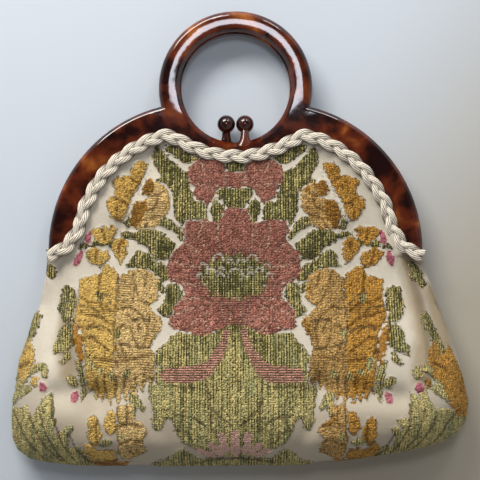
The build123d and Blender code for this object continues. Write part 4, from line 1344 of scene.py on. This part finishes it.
LAMPS = {
    "key": ((-0.48, 0.95, 0.74), (0, 0, 0), (0.7, 0.4), (1.0, 0.98, 0.94)),
    "window": ((0.01, 0.30, 1.0), (0.01, 0.15, 0), (0.22, 0.17), (0.88, 0.90, 1.0)),
    "side": ((0.40, 0.95, 0.74), (0.05, 0.05, 0), (0.22, 0.22), (0.95, 0.97, 1.0)),
    "fill": ((0.6, -0.5, 1.1), (0, -0.05, 0), (1.2, 1.2), (1, 0.97, 0.93)),
}
ROOM_COLOUR = (0.90, 0.93, 1.0, 1.0)
FLOOR_HALF = 3.0
CAMERA_X, CAMERA_Y = 0.0033, -0.0011
SENSOR_WIDTH = 36.0


def floor_material(settings):
    """Pale plain floor, cooler at the left, warmer at the right and even further out; the darker, warmer part
    at the right of the bag and below it is painted shade.
    """
    material, tree, shader = new_material("floor")
    place = object_place(tree)
    across, along = axes(tree, place)[:2]
    # painted shade near the bag, at the right and below
    share = ramp(tree, weigh(tree, (across, 1.0), (along, -0.8)), -0.06, 0.26)
    far = vector(tree, "LENGTH", place, (0, 0, 0), output=1)
    share = times(tree, share, ramp(tree, far, 0.50, 0.28))
    put(tree, shader, "Base Color", blend_colour(tree, share, settings.floor_left, settings.floor_right_painted_shade))
    shader.inputs["Roughness"].default_value = 0.7
    shader.inputs["Specular IOR Level"].default_value = 0.2
    return material


def add_lamp(name, place, aim, size, power, tone):
    """A soft area lamp that looks at a point."""
    data = bpy.data.lights.new(name, "AREA")
    data.shape = "RECTANGLE"
    data.size, data.size_y = size
    data.energy = power
    data.color = tone
    lamp = bpy.data.objects.new(name, data)
    lamp.location = place
    lamp.rotation_euler = (Vector(aim) - Vector(place)).to_track_quat("-Z", "Y").to_euler()
    bpy.context.collection.objects.link(lamp)


class CARPETBAG_OT_stage(bpy.types.Operator):
    """Make the floor, the lamps and the camera"""

    bl_idname = "carpetbag.stage"
    bl_label = "Stage"

    def execute(self, context):
        """Sets the camera straight above, as in the photo, and soft light from the picture's top."""
        settings = context.scene.bag_stage
        half = FLOOR_HALF
        mesh = bpy.data.meshes.new("floor")
        corners = [(-half, -half, 0), (half, -half, 0), (half, half, 0), (-half, half, 0)]
        mesh.from_pydata(corners, [], [(0, 1, 2, 3)])
        mesh.materials.append(floor_material(settings))
        floor = bpy.data.objects.new("floor", mesh)
        bpy.context.collection.objects.link(floor)
        for name, (place, aim, size, tone) in LAMPS.items():
            add_lamp(name, place, aim, size, getattr(settings, f"{name}_power"), tone)
        world = bpy.data.worlds.new("room")
        world.use_nodes = True
        room = world.node_tree
        toward = axes(room, wire(room, "ShaderNodeTexCoord", (), output=0))
        overhead = ramp(room, toward[2], 0.05, 0.95, 0.70, 0.07)
        ahead = ramp(room, toward[1], 0.3, 1.0, 0.0, 0.9)
        back = room.nodes["Background"]
        back.inputs["Color"].default_value = ROOM_COLOUR
        room.links.new(maths(room, "ADD", overhead, ahead), back.inputs["Strength"])
        context.scene.world = world
        data = bpy.data.cameras.new("camera")
        data.sensor_width = SENSOR_WIDTH
        data.lens = SENSOR_WIDTH * settings.camera_height / settings.view_width
        data.clip_start = 0.05
        camera = bpy.data.objects.new("camera", data)
        camera.location = (CAMERA_X, CAMERA_Y, settings.camera_height + FACE_Z * MM)
        bpy.context.collection.objects.link(camera)
        context.scene.camera = camera
        context.scene.view_settings.view_transform = "Standard"
        return {"FINISHED"}


class CARPETBAG_PT_panel(bpy.types.Panel):
    """Sidebar panel with the steps and sizes"""

    bl_idname = "CARPETBAG_PT_panel"
    bl_label = "Carpet Bag"
    bl_space_type = "VIEW_3D"
    bl_region_type = "UI"
    bl_category = "Carpet Bag"

    def draw(self, context):
        """Lists the operators and the settings."""
        for step in STEPS:
            self.layout.operator(step.bl_idname)
        for name in SETTINGS:
            group = getattr(context.scene, name)
            for key in group.bl_rna.properties.keys():
                if key not in ("rna_type", "name"):
                    self.layout.prop(group, key)


STEPS = [
    CARPETBAG_OT_stage, CARPETBAG_OT_front_cloth, CARPETBAG_OT_back_cloth, CARPETBAG_OT_lining,
    CARPETBAG_OT_braids, CARPETBAG_OT_finishes,
]
SETTINGS = {
    "bag_shape": BagShape, "braid_shape": BraidShape, "bag_colours": BagColours,
    "bag_stage": StageSettings,
}


def register():
    """Registers the settings, operators and panel."""
    for group in SETTINGS.values():
        bpy.utils.register_class(group)
    for name, group in SETTINGS.items():
        setattr(bpy.types.Scene, name, bpy.props.PointerProperty(type=group))
    for step in STEPS:
        bpy.utils.register_class(step)
    bpy.utils.register_class(CARPETBAG_PT_panel)


def unregister():
    """Takes everything back out."""
    bpy.utils.unregister_class(CARPETBAG_PT_panel)
    for step in reversed(STEPS):
        bpy.utils.unregister_class(step)
    for name in SETTINGS:
        delattr(bpy.types.Scene, name)
    for group in SETTINGS.values():
        bpy.utils.unregister_class(group)


def main():
    """Registers the classes and runs every step in order."""
    register()
    for step in STEPS:
        family, name = step.bl_idname.split(".")
        getattr(getattr(bpy.ops, family), name)()


if __name__ == "__main__":
    main()
